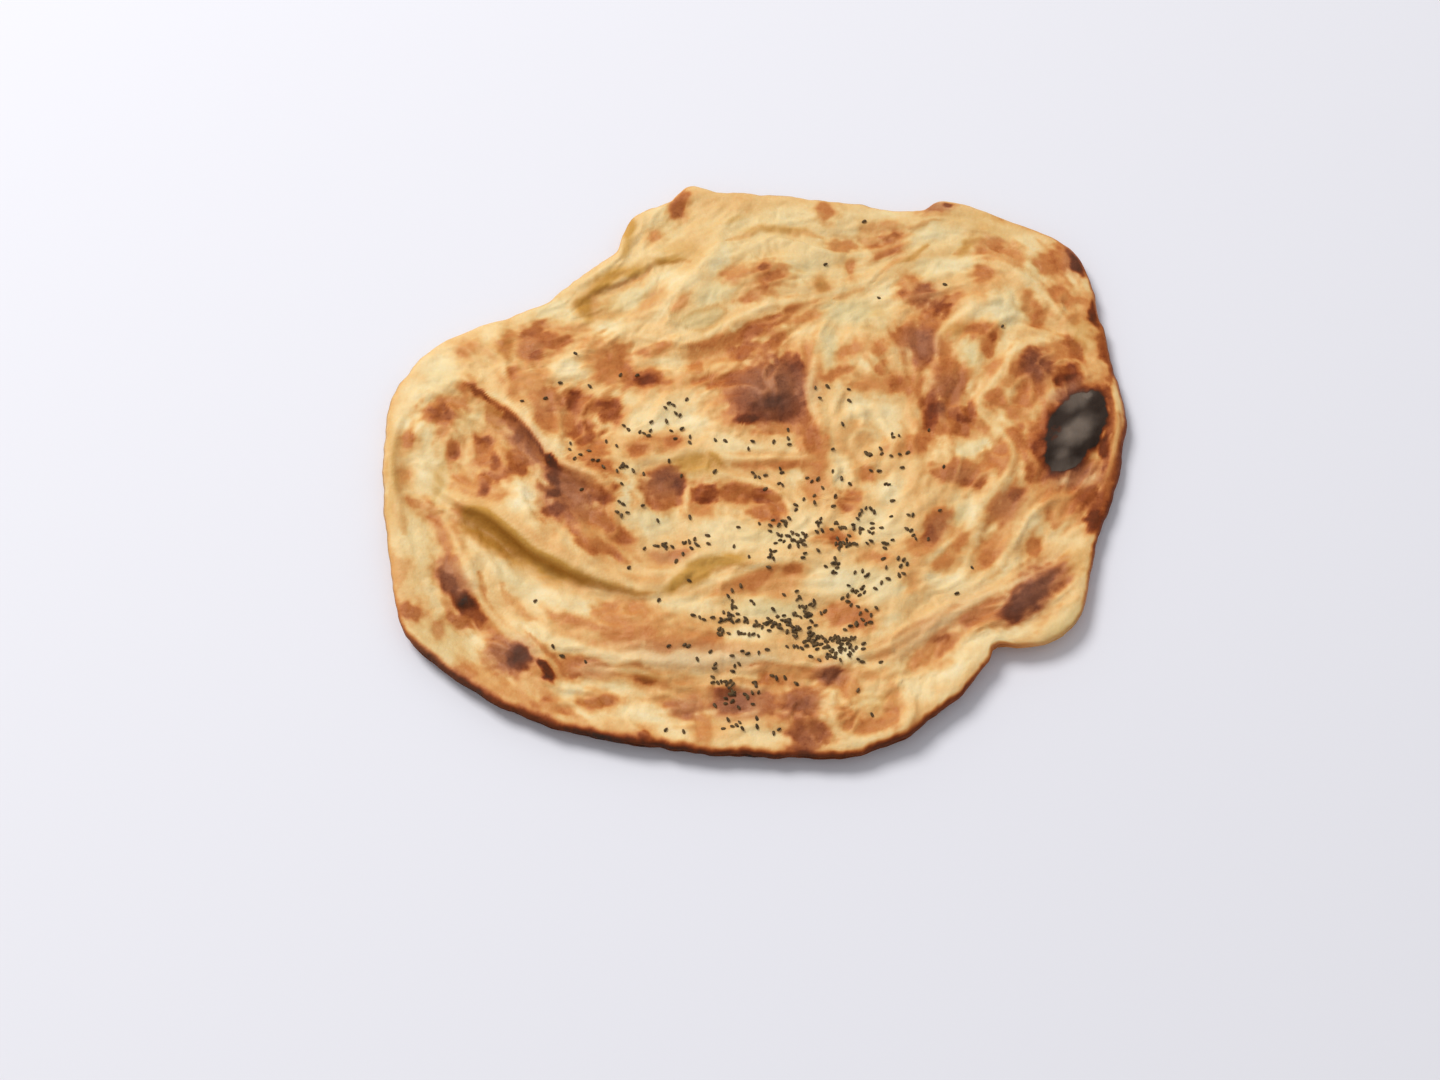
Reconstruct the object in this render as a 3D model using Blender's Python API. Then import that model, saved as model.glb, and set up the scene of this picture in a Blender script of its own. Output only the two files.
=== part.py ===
"""Malawach: a pan-fried flatbread of flaky, laminated dough, one folded sheet lying on its flat side.

Metres, +Z up. The origin is under the middle of the bread, on the surface that it lies on. +X runs
along its longest way across and +Y towards its far side. The outline and the folds are drawn in
millimetres and turned into metres by MM.
"""
import math

import bpy
import bmesh
import numpy as np

MM = 0.001

# Driving sizes
WIDTH = 358 * MM             # longest way across, along X
DEPTH = 312 * MM             # front to back, along Y
MIDDLE_THICKNESS = 10.5 * MM
RIM_THICKNESS = 6.0 * MM
RIM_ROLL = 6 * MM            # how far in from the rim the top rounds over
UNDER_ROLL = 3 * MM          # the same, underneath
FLAT_REACH = 0.80            # the underside lies flat out to this share of the radius
THIN_REACH = 0.62            # the dough thins from this share of the radius outwards

# Mesh fineness
GRID_CELLS = 170             # cells along each side of the grid that becomes a face of the bread
CURVE_STEPS = 8              # samples on each span of a drawn curve
FACET_SHARE = 0.07           # share of the fine triangles that is left on the finished solid

# The rim, anticlockwise from the right. The short step after (104, -112) is a tear in the edge.
RIM = [
    (179, 22), (173, 58), (169, 84), (165, 106), (153, 122), (134, 130), (114, 141), (94, 145),
    (80, 139), (38, 146), (8, 150), (-20, 152), (-33, 156), (-44, 145), (-60, 139), (-66, 128),
    (-72, 114), (-96, 93), (-112, 81), (-142, 69), (-158, 60), (-173, 40), (-179, 18), (-178, -22),
    (-173, -57), (-167, -86), (-154, -106), (-125, -128), (-104, -138), (-81, -146), (-42, -153),
    (-8, -156), (41, -156), (66, -147), (87, -131), (104, -112), (110, -103), (122, -103),
    (140, -97), (152, -79), (159, -50), (170, -23), (176, 3),
]

# How high the rim lifts off the surface, as (direction in degrees, lift in millimetres)
RIM_LIFT = [(0, 2.0), (45, 3.5), (90, 2.5), (135, 1.5), (180, 2.5), (225, 5.0), (270, 4.5), (318, 6.0)]

# Folds: height, width of the sloping back, width of the steep face (mm), and the line of the crest.
# The back is on the left of the line, walking along it, and the face on the right. The lines are
# drawn as they look from the front, where a raised place seems to lie LEAN times its height further
# back, so they move forward by that much.
LEAN = 0.5
FOLDS = {
    "pocket_lip": (10.0, 24, 4.2, [(-152, -19), (-141, -26), (-132, -29), (-125, -33), (-119, -38),
                                   (-112, -44), (-104, -51), (-94, -57), (-84, -63), (-74, -68),
                                   (-60, -73), (-46, -76)]),
    "pocket_arm": (2.6, 16, 6, [(-50, -84), (-45, -75), (-38, -67), (-30, -58), (-20, -54), (-8, -55),
                                (8, -58), (24, -58)]),
    "left_roll": (5.5, 15, 6, [(-158, 42), (-148, 40), (-140, 38), (-132, 34), (-124, 28), (-116, 21),
                               (-109, 13), (-103, 5), (-97, -3), (-88, -10), (-76, -16), (-69, -26),
                               (-65, -38), (-56, -49), (-44, -58)]),
    "long_diagonal": (2.0, 9, 5, [(-96, 50), (-82, 54), (-74, 60), (-62, 65), (-48, 64), (-36, 61),
                                  (-26, 63), (-16, 69), (-6, 76), (6, 80), (20, 84), (34, 88),
                                  (46, 92), (60, 98), (72, 107), (84, 114), (98, 118)]),
    "flake_diagonal": (2.5, 12, 4, [(-10, 132), (-17, 123), (-21, 112), (-28, 102), (-36, 92),
                                    (-44, 82), (-51, 72)]),
    "far_edge": (2.5, 14, 3, [(84, 126), (70, 120), (56, 115), (42, 113), (30, 116), (18, 120),
                              (6, 121), (-6, 118), (-16, 113)]),
    "far_corner": (2.5, 9, 2.5, [(-94, 84), (-84, 90), (-76, 95), (-68, 98), (-60, 103), (-52, 108),
                                 (-42, 110), (-30, 110)]),
    "far_strip": (2.0, 6, 2.5, [(-94, 92), (-85, 96), (-77, 102), (-70, 108), (-65, 116), (-61, 126)]),
    "front_band": (3.0, 10, 7, [(-164, -24), (-152, -29), (-144, -42), (-139, -54), (-134, -66),
                                (-128, -78), (-119, -90), (-108, -99), (-99, -109), (-92, -119),
                                (-82, -128)]),
    "seed_step": (2.2, 17, 4, [(-112, -84), (-100, -94), (-86, -103), (-62, -108), (-40, -110),
                               (-18, -109), (2, -108), (18, -110), (32, -111), (46, -107),
                               (62, -100), (80, -90), (98, -81), (118, -70)]),
    "middle_fold": (1.8, 10, 5, [(-66, -8), (-50, -4), (-36, -2), (-24, 0), (-12, -4), (4, -4),
                                 (22, -4), (34, -8)]),
    "middle_vein": (2.5, 12, 8, [(36, 74), (31, 62), (28, 48), (26, 34), (27, 22), (31, 10), (33, -4)]),
    "arm_ridge": (2.0, 7, 5, [(-34, -76), (-26, -71), (-12, -66), (0, -61), (14, -58), (28, -62)]),
    "left_edge": (2.5, 7, 3, [(-166, -44), (-169, -30), (-172, -18), (-174, -4), (-172, 14), (-166, 28)]),
    "right_vein": (2.2, 5, 5, [(154, 66), (140, 63), (128, 58), (121, 47), (113, 36), (107, 28),
                               (109, 20), (116, 12), (122, 2), (120, -10), (110, -24), (104, -36),
                               (98, -50), (90, -61)]),
    "corner_vein": (1.8, 5, 5, [(100, 106), (112, 108), (122, 106), (129, 101), (136, 94), (144, 87),
                                (149, 79), (156, 69), (164, 62)]),
    "tear_fold": (1.8, 8, 6, [(150, -52), (136, -60), (122, -68), (106, -76), (92, -85), (78, -95),
                              (62, -107), (48, -116)]),
}
FACE_HOLLOW = 0.3            # depth of the hollow at the foot of a fold, as a share of its height
CREST_ROUND = 1.6 * MM       # how far the top of a crest is rounded

# Blisters: centre, half length, half width (mm), turn (degrees) and height (mm)
BLISTERS = {
    "char": (153, 7, 22, 13, 52, 4.0),
    "middle_scorch": (8, 32, 20, 14, 25, 3.0),
    "left": (-152, 14, 16, 10, 10, 2.5),
    "front": (20, -134, 26, 11, 3, 3.5),
    "front_left": (-108, -108, 18, 10, -28, 2.5),
    "far": (8, 98, 20, 10, 28, 2.5),
    "right": (136, 48, 16, 11, 15, 2.5),
    "low_right": (122, -78, 22, 9, 36, 3.0),
}

# Long, low waves of the whole sheet: wavelength and height (mm), and heading (degrees)
WAVES = [(118, 1.1, 24), (83, 0.9, 118), (61, 0.7, 71), (47, 0.5, 160)]

CRUST_COLOR = (0.74, 0.47, 0.22, 1.0)


def clear_scene():
    for thing in list(bpy.data.objects):
        bpy.data.objects.remove(thing, do_unlink=True)


def smooth_curve(points, closed):
    """Points along a Catmull-Rom curve through the drawn ones."""
    drawn = np.array(points, float) * MM
    if closed:
        guide = np.vstack([drawn[-1:], drawn, drawn[:2]])
    else:
        guide = np.vstack([2 * drawn[0] - drawn[1], drawn, 2 * drawn[-1] - drawn[-2]])
    t = np.arange(CURVE_STEPS)[:, None] / CURVE_STEPS
    spans = []
    for a, b, c, d in zip(guide, guide[1:], guide[2:], guide[3:]):
        cubic = (2 * a - 5 * b + 4 * c - d) * t ** 2 + (3 * b - 3 * c + d - a) * t ** 3
        spans.append(b + 0.5 * ((c - a) * t + cubic))
    if not closed:
        spans.append(drawn[-1:])
    return np.vstack(spans)


def smooth_step(value, start, end):
    t = np.clip((value - start) / (end - start), 0, 1)
    return t * t * (3 - 2 * t)


def rim_radius(angle):
    """Distance from the origin to the rim in each direction, at exactly WIDTH by DEPTH over all."""
    curve = smooth_curve(RIM, closed=True)
    low, high = curve.min(axis=0), curve.max(axis=0)
    curve = (curve - (low + high) / 2) * (np.array([WIDTH, DEPTH]) / (high - low))
    return np.interp(angle, np.arctan2(curve[:, 1], curve[:, 0]), np.hypot(*curve.T), period=2 * math.pi)


def rim_lift(angle):
    headings, lifts = np.radians([d for d, _ in RIM_LIFT]), np.array([h for _, h in RIM_LIFT]) * MM
    return np.interp(angle, headings, lifts, period=2 * math.pi)


def path_distance(x, y, path):
    """Distance to a line, positive on its left, and how far along it the nearest point is, 0 to 1."""
    nearest = np.full(x.shape, np.inf)
    signed = np.zeros(x.shape)
    along = np.zeros(x.shape)
    count = len(path) - 1
    for i in range(count):
        (ax, ay), (bx, by) = path[i], path[i + 1]
        ux, uy = bx - ax, by - ay
        t = np.clip(((x - ax) * ux + (y - ay) * uy) / (ux * ux + uy * uy), 0, 1)
        dx, dy = x - ax - t * ux, y - ay - t * uy
        gap = np.hypot(dx, dy)
        closer = gap < nearest
        nearest = np.where(closer, gap, nearest)
        signed = np.where(closer, np.copysign(gap, ux * dy - uy * dx), signed)
        along = np.where(closer, (i + t) / count, along)
    return signed, along


def fold_height(x, y, height, back, face, points):
    """A crest with a long back on its left, and a steep face and a hollow on its right."""
    path = smooth_curve(points, closed=False) - (0, LEAN * height * MM)
    side, along = path_distance(x, y, path)
    width = np.where(side > 0, back, face) * MM
    crest = np.exp(-(np.hypot(side, CREST_ROUND) - CREST_ROUND) / (0.7 * width))
    hollow = np.exp(-((side + 2.2 * face * MM) / (1.4 * face * MM)) ** 2)
    ends = np.clip(np.sin(math.pi * along), 0, 1) ** 0.7
    return height * MM * ends * (crest - FACE_HOLLOW * hollow)


def blister_height(x, y, centre_x, centre_y, half_length, half_width, turn, height):
    c, s = math.cos(math.radians(turn)), math.sin(math.radians(turn))
    dx, dy = x - centre_x * MM, y - centre_y * MM
    reach = ((c * dx + s * dy) / (half_length * MM)) ** 2 + ((c * dy - s * dx) / (half_width * MM)) ** 2
    return height * MM * np.exp(-reach ** 1.5)


def wave_height(x, y):
    total = 0
    for wavelength, height, heading in WAVES:
        c, s = math.cos(math.radians(heading)), math.sin(math.radians(heading))
        total = total + height * MM * np.sin(2 * math.pi * (c * x + s * y) / (wavelength * MM))
    return total


def under_height(share, angle):
    """Height of the underside: flat on the surface, and lifting towards the rim."""
    return rim_lift(angle) * smooth_step(share, FLAT_REACH, 1.0) ** 1.3


def top_height(x, y, share, angle):
    thickness = MIDDLE_THICKNESS + (RIM_THICKNESS - MIDDLE_THICKNESS) * smooth_step(share, THIN_REACH, 1.0)
    height = under_height(share, angle) + thickness + wave_height(x, y) * smooth_step(1 - share, 0, 0.15)
    for fold in FOLDS.values():
        height = height + fold_height(x, y, *fold)
    for blister in BLISTERS.values():
        height = height + blister_height(x, y, *blister)
    return height


def round_off(share, angle, roll):
    """From 0 at the rim to 1 at a distance of roll inside it, as a quarter circle."""
    inward = np.clip((1 - share) * rim_radius(angle) / roll, 0, 1)
    return np.sqrt(1 - (1 - inward) ** 2)


def dough_face(u, v, is_top):
    """Turn points of a unit square into points of the bread's top or underside."""
    disc_u, disc_v = u * np.sqrt(1 - v * v / 2), v * np.sqrt(1 - u * u / 2)
    share, angle = np.hypot(disc_u, disc_v), np.arctan2(disc_v, disc_u)
    radius = share * rim_radius(angle)
    x, y = radius * np.cos(angle), radius * np.sin(angle)
    edge = rim_lift(angle) + RIM_THICKNESS / 2
    if is_top:
        z = edge + (top_height(x, y, share, angle) - edge) * round_off(share, angle, RIM_ROLL)
        z = z + 0.1 * MM
    else:
        z = edge + (under_height(share, angle) - edge) * round_off(share, angle, UNDER_ROLL)
    return np.column_stack([x, y, z])


def add_face(bm, is_top):
    """Add one face of the bread to the mesh and return its open edge."""
    made = bmesh.ops.create_grid(bm, x_segments=GRID_CELLS, y_segments=GRID_CELLS, size=1.0)
    verts = made["verts"]
    square = np.array([vert.co[:2] for vert in verts])
    for vert, place in zip(verts, dough_face(square[:, 0], square[:, 1], is_top)):
        vert.co = place
    faces = {face for vert in verts for face in vert.link_faces}
    if not is_top:
        bmesh.ops.reverse_faces(bm, faces=list(faces))
    return [edge for face in faces for edge in face.edges if edge.is_boundary]


def make_bread():
    """Top and underside, joined round the rim, and then thinned out where they are nearly flat."""
    bm = bmesh.new()
    rims = [add_face(bm, is_top=True), add_face(bm, is_top=False)]
    bmesh.ops.bridge_loops(bm, edges=rims[0] + rims[1])
    bmesh.ops.recalc_face_normals(bm, faces=bm.faces)
    mesh = bpy.data.meshes.new("bread")
    bm.to_mesh(mesh)
    bm.free()
    mesh.shade_smooth()
    bread = bpy.data.objects.new("bread", mesh)
    bpy.context.scene.collection.objects.link(bread)
    facets = bread.modifiers.new("facets", "DECIMATE")
    facets.ratio = FACET_SHARE
    facets.use_collapse_triangulate = True
    return bread


def crust_material():
    material = bpy.data.materials.new("crust")
    material.use_nodes = True
    shader = material.node_tree.nodes["Principled BSDF"]
    shader.inputs["Base Color"].default_value = CRUST_COLOR
    shader.inputs["Roughness"].default_value = 0.6
    shader.inputs["Metallic"].default_value = 0.0
    return material


clear_scene()
bread = make_bread()
bread.data.materials.append(crust_material())
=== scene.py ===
# %% [markdown]
# # A malawach
#
# Malawach is a big, thin bread of laminated dough: buttered, folded, coiled, rolled out and fried in a
# dry pan until its blisters scorch. This one is a single sheet, a good 35 cm across, that has slumped
# into folds on its way out of the pan, with black nigella seeds strewn on it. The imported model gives
# its real size, so everything here is worked out from that model's box.

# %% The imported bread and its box
import math

import bmesh
import bpy
import numpy as np
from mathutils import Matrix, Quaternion, Vector
from mathutils.bvhtree import BVHTree


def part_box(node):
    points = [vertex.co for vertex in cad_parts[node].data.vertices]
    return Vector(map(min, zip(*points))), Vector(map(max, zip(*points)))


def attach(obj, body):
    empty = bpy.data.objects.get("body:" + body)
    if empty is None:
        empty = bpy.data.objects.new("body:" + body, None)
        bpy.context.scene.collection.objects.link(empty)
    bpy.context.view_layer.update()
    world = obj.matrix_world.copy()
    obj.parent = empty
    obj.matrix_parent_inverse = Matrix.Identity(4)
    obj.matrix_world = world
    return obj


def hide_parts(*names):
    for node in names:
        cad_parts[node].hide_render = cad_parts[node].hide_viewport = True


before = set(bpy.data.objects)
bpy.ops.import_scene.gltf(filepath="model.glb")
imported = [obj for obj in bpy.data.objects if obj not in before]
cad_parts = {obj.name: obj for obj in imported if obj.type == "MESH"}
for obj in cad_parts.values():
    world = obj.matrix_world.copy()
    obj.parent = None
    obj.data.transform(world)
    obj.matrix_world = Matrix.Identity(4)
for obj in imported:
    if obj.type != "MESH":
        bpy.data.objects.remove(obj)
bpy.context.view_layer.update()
MM = 0.001
LOW, HIGH = (np.array(corner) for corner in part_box("bread"))
WIDTH, DEPTH, HEIGHT = HIGH - LOW
print(f"bread: {WIDTH / MM:.0f} x {DEPTH / MM:.0f} x {HEIGHT / MM:.1f} mm")

# %% [markdown]
# ## Drawn lines
#
# The rim and the folds are drawn as a few points in millimetres, the way they would be traced
# on paper. A Catmull-Rom curve runs smoothly through them. Two measures of such a line do most of the
# work later: how far a place lies from it, and on which side.

# %% Curves through drawn points
CURVE_STEPS = 6


def smooth_curve(points, closed):
    drawn = np.array(points, float) * MM
    if closed:
        guide = np.vstack([drawn[-1:], drawn, drawn[:2]])
    else:
        guide = np.vstack([2 * drawn[0] - drawn[1], drawn, 2 * drawn[-1] - drawn[-2]])
    t = np.arange(CURVE_STEPS)[:, None] / CURVE_STEPS
    spans = []
    for a, b, c, d in zip(guide, guide[1:], guide[2:], guide[3:]):
        cubic = (2 * a - 5 * b + 4 * c - d) * t ** 2 + (3 * b - 3 * c + d - a) * t ** 3
        spans.append(b + 0.5 * ((c - a) * t + cubic))
    if not closed:
        spans.append(drawn[-1:])
    return np.vstack(spans)


def smooth_step(value, start, end):
    t = np.clip((value - start) / (end - start), 0, 1)
    return t * t * (3 - 2 * t)


def path_frame(x, y, path):
    """Distance to a line (positive on its left), how far along it, 0 to 1, and the line's heading."""
    nearest = np.full(x.shape, np.inf)
    signed, along, heading = np.zeros(x.shape), np.zeros(x.shape), np.zeros(x.shape)
    count = len(path) - 1
    for i in range(count):
        (ax, ay), (bx, by) = path[i], path[i + 1]
        ux, uy = bx - ax, by - ay
        t = np.clip(((x - ax) * ux + (y - ay) * uy) / (ux * ux + uy * uy), 0, 1)
        dx, dy = x - ax - t * ux, y - ay - t * uy
        gap = np.hypot(dx, dy)
        closer = gap < nearest
        nearest = np.where(closer, gap, nearest)
        signed = np.where(closer, np.copysign(gap, ux * dy - uy * dx), signed)
        along = np.where(closer, (i + t) / count, along)
        heading = np.where(closer, math.atan2(uy, ux), heading)
    return signed, along, heading


def within(x, y, path, reach):
    """Which places lie less than reach outside the box around a line."""
    low, high = path.min(axis=0) - reach, path.max(axis=0) + reach
    return np.nonzero((x > low[0]) & (x < high[0]) & (y > low[1]) & (y < high[1]))


# %% [markdown]
# ## Unevenness
#
# Nothing on a handmade bread repeats, so noise joins every measure. Gradient noise gives soft lumps.
# Cell noise, the distance to the nearest of many strewn points, gives rounded blisters with creases
# between them. Both are written with numpy, because the mesh has close to a hundred thousand points.

# %% Two kinds of noise
NOISE_TILE = 64


def lumps(x, y, seed):
    """Soft noise from about -1 to 1, one lump to each unit."""
    headings = np.random.default_rng(seed).random((NOISE_TILE, NOISE_TILE)) * 2 * math.pi
    column, row = np.floor(x).astype(int), np.floor(y).astype(int)
    dx, dy = x - column, y - row

    def corner(i, j):
        heading = headings[(column + i) % NOISE_TILE, (row + j) % NOISE_TILE]
        return np.cos(heading) * (dx - i) + np.sin(heading) * (dy - j)

    fade_x, fade_y = (d ** 3 * (d * (6 * d - 15) + 10) for d in (dx, dy))
    near = corner(0, 0) + fade_x * (corner(1, 0) - corner(0, 0))
    far = corner(0, 1) + fade_x * (corner(1, 1) - corner(0, 1))
    return 1.5 * (near + fade_y * (far - near))


def cells(x, y, seed):
    """Distance to the nearest of points strewn one to a unit square, and to the next nearest."""
    offsets = np.random.default_rng(seed).random((2, NOISE_TILE, NOISE_TILE))
    column, row = np.floor(x).astype(int), np.floor(y).astype(int)
    first, second = np.full(x.shape, 9.0), np.full(x.shape, 9.0)
    for i in (-1, 0, 1):
        for j in (-1, 0, 1):
            at = (column + i) % NOISE_TILE, (row + j) % NOISE_TILE
            gap = np.hypot(column + i + offsets[0][at] - x, row + j + offsets[1][at] - y)
            second = np.minimum(second, np.maximum(gap, first))
            first = np.minimum(first, gap)
    return first, second


# %% [markdown]
# ## The outline
#
# The bread was pressed out by hand, so its rim is no circle: it has flat stretches, soft corners, and
# one small tear at the front right. Seen from the middle, each direction meets the rim once. So the
# whole outline becomes one number for each direction, and any place in the bread is a direction and a
# share of the way out to the rim.

# %% The rim
RIM = [
    (179, 22), (173, 58), (169, 84), (165, 106), (153, 122), (134, 130), (114, 141), (94, 145), (80, 139),
    (38, 146), (8, 150), (-20, 152), (-33, 156), (-44, 145), (-60, 139), (-66, 128), (-72, 114), (-96, 93),
    (-112, 81), (-142, 69), (-158, 60), (-173, 40), (-179, 18), (-178, -22), (-173, -57), (-167, -86),
    (-154, -106), (-125, -128), (-104, -138), (-81, -146), (-42, -153), (-8, -156), (41, -156), (66, -147),
    (87, -131), (104, -112), (110, -103), (122, -103), (140, -97), (152, -79), (159, -50), (170, -23),
    (176, 3),
]
# (heading in degrees, how high the rim lifts there in mm)
RIM_LIFT = [(0, 2.0), (45, 3.5), (90, 2.5), (135, 1.5), (180, 2.5), (225, 5.0), (270, 4.5), (318, 6.0)]
rim_curve = smooth_curve(RIM, closed=True)
rim_low, rim_high = rim_curve.min(axis=0), rim_curve.max(axis=0)
rim_curve = (rim_curve - (rim_low + rim_high) / 2) * (np.array([WIDTH, DEPTH]) / (rim_high - rim_low))
RIM_HEADINGS = np.arctan2(rim_curve[:, 1], rim_curve[:, 0])
RIM_RADII = np.hypot(*rim_curve.T)


def around(angle, count, seed):
    """Noise that runs round the rim and meets itself."""
    return lumps(count * np.cos(angle), count * np.sin(angle), seed)


def rim_radius(angle):
    """How far the rim lies from the middle, a millimetre or so uneven."""
    uneven = 1.1 * around(angle, 11, 5) + 0.5 * around(angle, 30, 6)
    return np.interp(angle, RIM_HEADINGS, RIM_RADII, period=2 * math.pi) + uneven * MM


def by_heading(angle, table, column):
    """A value read from a table whose rows start with a heading in degrees."""
    headings, values = np.radians([row[0] for row in table]), [row[column] for row in table]
    return np.interp(angle, headings, values, period=2 * math.pi)


def rim_lift(angle):
    """How high the rim lifts off the surface under it."""
    return by_heading(angle, RIM_LIFT, 1) * MM


# (heading in degrees, tone, reach in mm): the rim burnt where it hung over the edge of the pan, and
# darkened further by painted shade along its edge, where it lifts off the floor
RIM_BURNS_AND_SHADE = [
    (-172, 0.35, 2.2), (-156, 0.45, 2.4), (-150, 0.75, 3.0), (-145, 0.93, 4.8), (-132, 0.93, 5.4),
    (-114, 0.95, 5.6), (-95, 0.93, 4.2), (-62, 0.9, 3.4), (-52, 0.85, 2.8), (-44, 0.6, 2.2),
    (-36, 0.35, 2.2), (-26, 0.6, 2.5), (-14, 0.85, 3.0), (-4, 0.85, 3.2), (10, 0.8, 2.4), (26, 0.6, 2.2),
    (33, 0.7, 2.4), (40, 0.45, 2.2), (48, 0.3, 2.2), (120, 0.3, 2.2), (160, 0.25, 2.2),
]


def rim_burn_and_shade(angle):
    """How brown the rim is, as a tone, with painted shade along its edge."""
    return by_heading(angle, RIM_BURNS_AND_SHADE, 1)


def polar(x, y):
    """The direction of a place, and its share of the way out to the rim."""
    angle = np.arctan2(y, x)
    return angle, np.hypot(x, y) / rim_radius(angle)


print(f"rim: {RIM_RADII.min() / MM:.0f} to {RIM_RADII.max() / MM:.0f} mm from the middle")

# %% [markdown]
# ## Folds
#
# Each fold of the slumped sheet is a crest with a long sloping back on one side and a steep face with
# a hollow at its foot on the other. The big one at the left laps over its own hollow like a wave and
# leaves a pocket. To make that lap, the points near the crest also slide sideways over the hollow.
# Veins are the same thing small: thin raised creases where the layers were pinched together.

# %% The folds and veins
# name: height, width of the back, width of the face, lap (mm), and the line of the crest.
# The back is on the left of the line, walking along it, and the face on the right. Lines and marks are
# drawn as they look from the front, where a raised place seems to lie half its height further back.
LEAN = 0.5
FOLDS = {
    "pocket lip": (10, 24, 4.2, 4.4, [
        (-152, -19), (-141, -26), (-132, -29), (-125, -33), (-119, -38), (-112, -44), (-104, -51),
        (-94, -57), (-84, -63), (-74, -68), (-60, -73), (-46, -76)]),
    "pocket arm": (2.6, 16, 6, 1.5, [
        (-50, -84), (-45, -75), (-38, -67), (-30, -58), (-20, -54), (-8, -55), (8, -58), (24, -58)]),
    "left roll": (5.5, 15, 6, 2.5, [
        (-158, 42), (-148, 40), (-140, 38), (-132, 34), (-124, 28), (-116, 21), (-109, 13), (-103, 5),
        (-97, -3), (-88, -10), (-76, -16), (-69, -26), (-65, -38), (-56, -49), (-44, -58)]),
    "long diagonal": (2.0, 9, 5, 0.5, [
        (-96, 50), (-82, 54), (-74, 60), (-62, 65), (-48, 64), (-36, 61), (-26, 63), (-16, 69), (-6, 76),
        (6, 80), (20, 84), (34, 88), (46, 92), (60, 98), (72, 107), (84, 114), (98, 118)]),
    "flake diagonal": (2.5, 12, 4, 1, [
        (-10, 132), (-17, 123), (-21, 112), (-28, 102), (-36, 92), (-44, 82), (-51, 72)]),
    "far edge": (2.5, 14, 3, 1, [
        (84, 126), (70, 120), (56, 115), (42, 113), (30, 116), (18, 120), (6, 121), (-6, 118), (-16, 113)]),
    "far corner": (2.5, 9, 2.5, 1, [
        (-94, 84), (-84, 90), (-76, 95), (-68, 98), (-60, 103), (-52, 108), (-42, 110), (-30, 110)]),
    "far strip": (2, 6, 2.5, 1, [(-94, 92), (-85, 96), (-77, 102), (-70, 108), (-65, 116), (-61, 126)]),
    "front band": (3, 10, 7, 0, [
        (-164, -24), (-152, -29), (-144, -42), (-139, -54), (-134, -66), (-128, -78), (-119, -90),
        (-108, -99), (-99, -109), (-92, -119), (-82, -128)]),
    "seed step": (2.2, 17, 4, 0.5, [
        (-112, -84), (-100, -94), (-86, -103), (-62, -108), (-40, -110), (-18, -109), (2, -108), (18, -110),
        (32, -111), (46, -107), (62, -100), (80, -90), (98, -81), (118, -70)]),
    "middle fold": (1.8, 10, 5, 0, [
        (-66, -8), (-50, -4), (-36, -2), (-24, 0), (-12, -4), (4, -4), (22, -4), (34, -8)]),
    "inner loop": (1.8, 5, 4, 0, [
        (-30, -15), (-20, -12), (-6, -15), (6, -19), (14, -27), (17, -38), (12, -48)]),
    "middle vein": (2.5, 12, 8, 0, [(36, 74), (31, 62), (28, 48), (26, 34), (27, 22), (31, 10), (33, -4)]),
    "arm ridge": (2, 7, 5, 0, [(-34, -76), (-26, -71), (-12, -66), (0, -61), (14, -58), (28, -62)]),
    "left edge": (2.5, 7, 3, 1, [
        (-166, -44), (-169, -30), (-172, -18), (-174, -4), (-172, 14), (-166, 28)]),
    "right vein": (2.2, 5, 5, 0, [
        (154, 66), (140, 63), (128, 58), (121, 47), (113, 36), (107, 28), (109, 20), (116, 12), (122, 2),
        (120, -10), (110, -24), (104, -36), (98, -50), (90, -61)]),
    "corner vein": (1.8, 5, 5, 0, [
        (100, 106), (112, 108), (122, 106), (129, 101), (136, 94), (144, 87), (149, 79), (156, 69),
        (164, 62)]),
    "right fold": (1.5, 6, 6, 0, [
        (146, -20), (136, -29), (126, -40), (118, -51), (110, -63), (98, -71), (84, -76)]),
    "tear fold": (1.8, 8, 6, 0, [
        (150, -52), (136, -60), (122, -68), (106, -76), (92, -85), (78, -95), (62, -107), (48, -116)]),
    "upper vein": (1.5, 4, 4, 0, [(112, 84), (104, 79), (96, 72), (89, 64), (88, 52)]),
    "swirl": (1.6, 4, 4, 0, [(36, 0), (38, 11), (45, 19), (55, 20), (63, 13), (65, 3), (60, -6), (51, -8)]),
    "swirl heart": (1.2, 3, 3, 0, [(46, -2), (45, 6), (52, 11), (58, 6), (56, -1)]),
    "front vein": (1.5, 4, 4, 0, [(-86, -112), (-72, -113), (-58, -114), (-44, -117), (-30, -116)]),
    "front ring": (1.5, 4, 4, 0, [
        (34, -122), (31, -132), (36, -144), (48, -149), (62, -146), (69, -134), (64, -121), (52, -118)]),
    "rim vein": (1.8, 3, 4, 0, [(172, 46), (174, 28), (173, 10), (168, -8), (162, -22)]),
    "pinched strip": (1.4, 3, 3, 0, [(97, -40), (90, -48), (83, -56), (76, -62)]),
    "left vein": (1.6, 5, 4, 0, [(-138, 64), (-131, 57), (-124, 50), (-122, 40), (-116, 30)]),
    "round left": (1.4, 5, 4, 0, [(-164, 22), (-158, 32), (-148, 35), (-142, 30)]),
    "gap line": (1.2, 2.5, 2.5, 0, [(-34, -16), (-33, -24), (-34, -32), (-30, -38)]),
}
FACE_HOLLOW = 0.3            # depth of the hollow at the foot of a face, as a share of the height
CREST_ROUND = 1.6 * MM
CREST_FALL = 0.7             # how quickly the back and the face fall, in their own widths
HOLLOW_AT, HOLLOW_WIDTH = 2.2, 1.4      # in widths of the face
SLIDE_AT, SLIDE_WIDTH = 0.2, 0.9        # in widths of the face
CREST_LINE = 1.5 * MM
BACK_START, BACK_END = 9 * MM, 15 * MM
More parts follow.
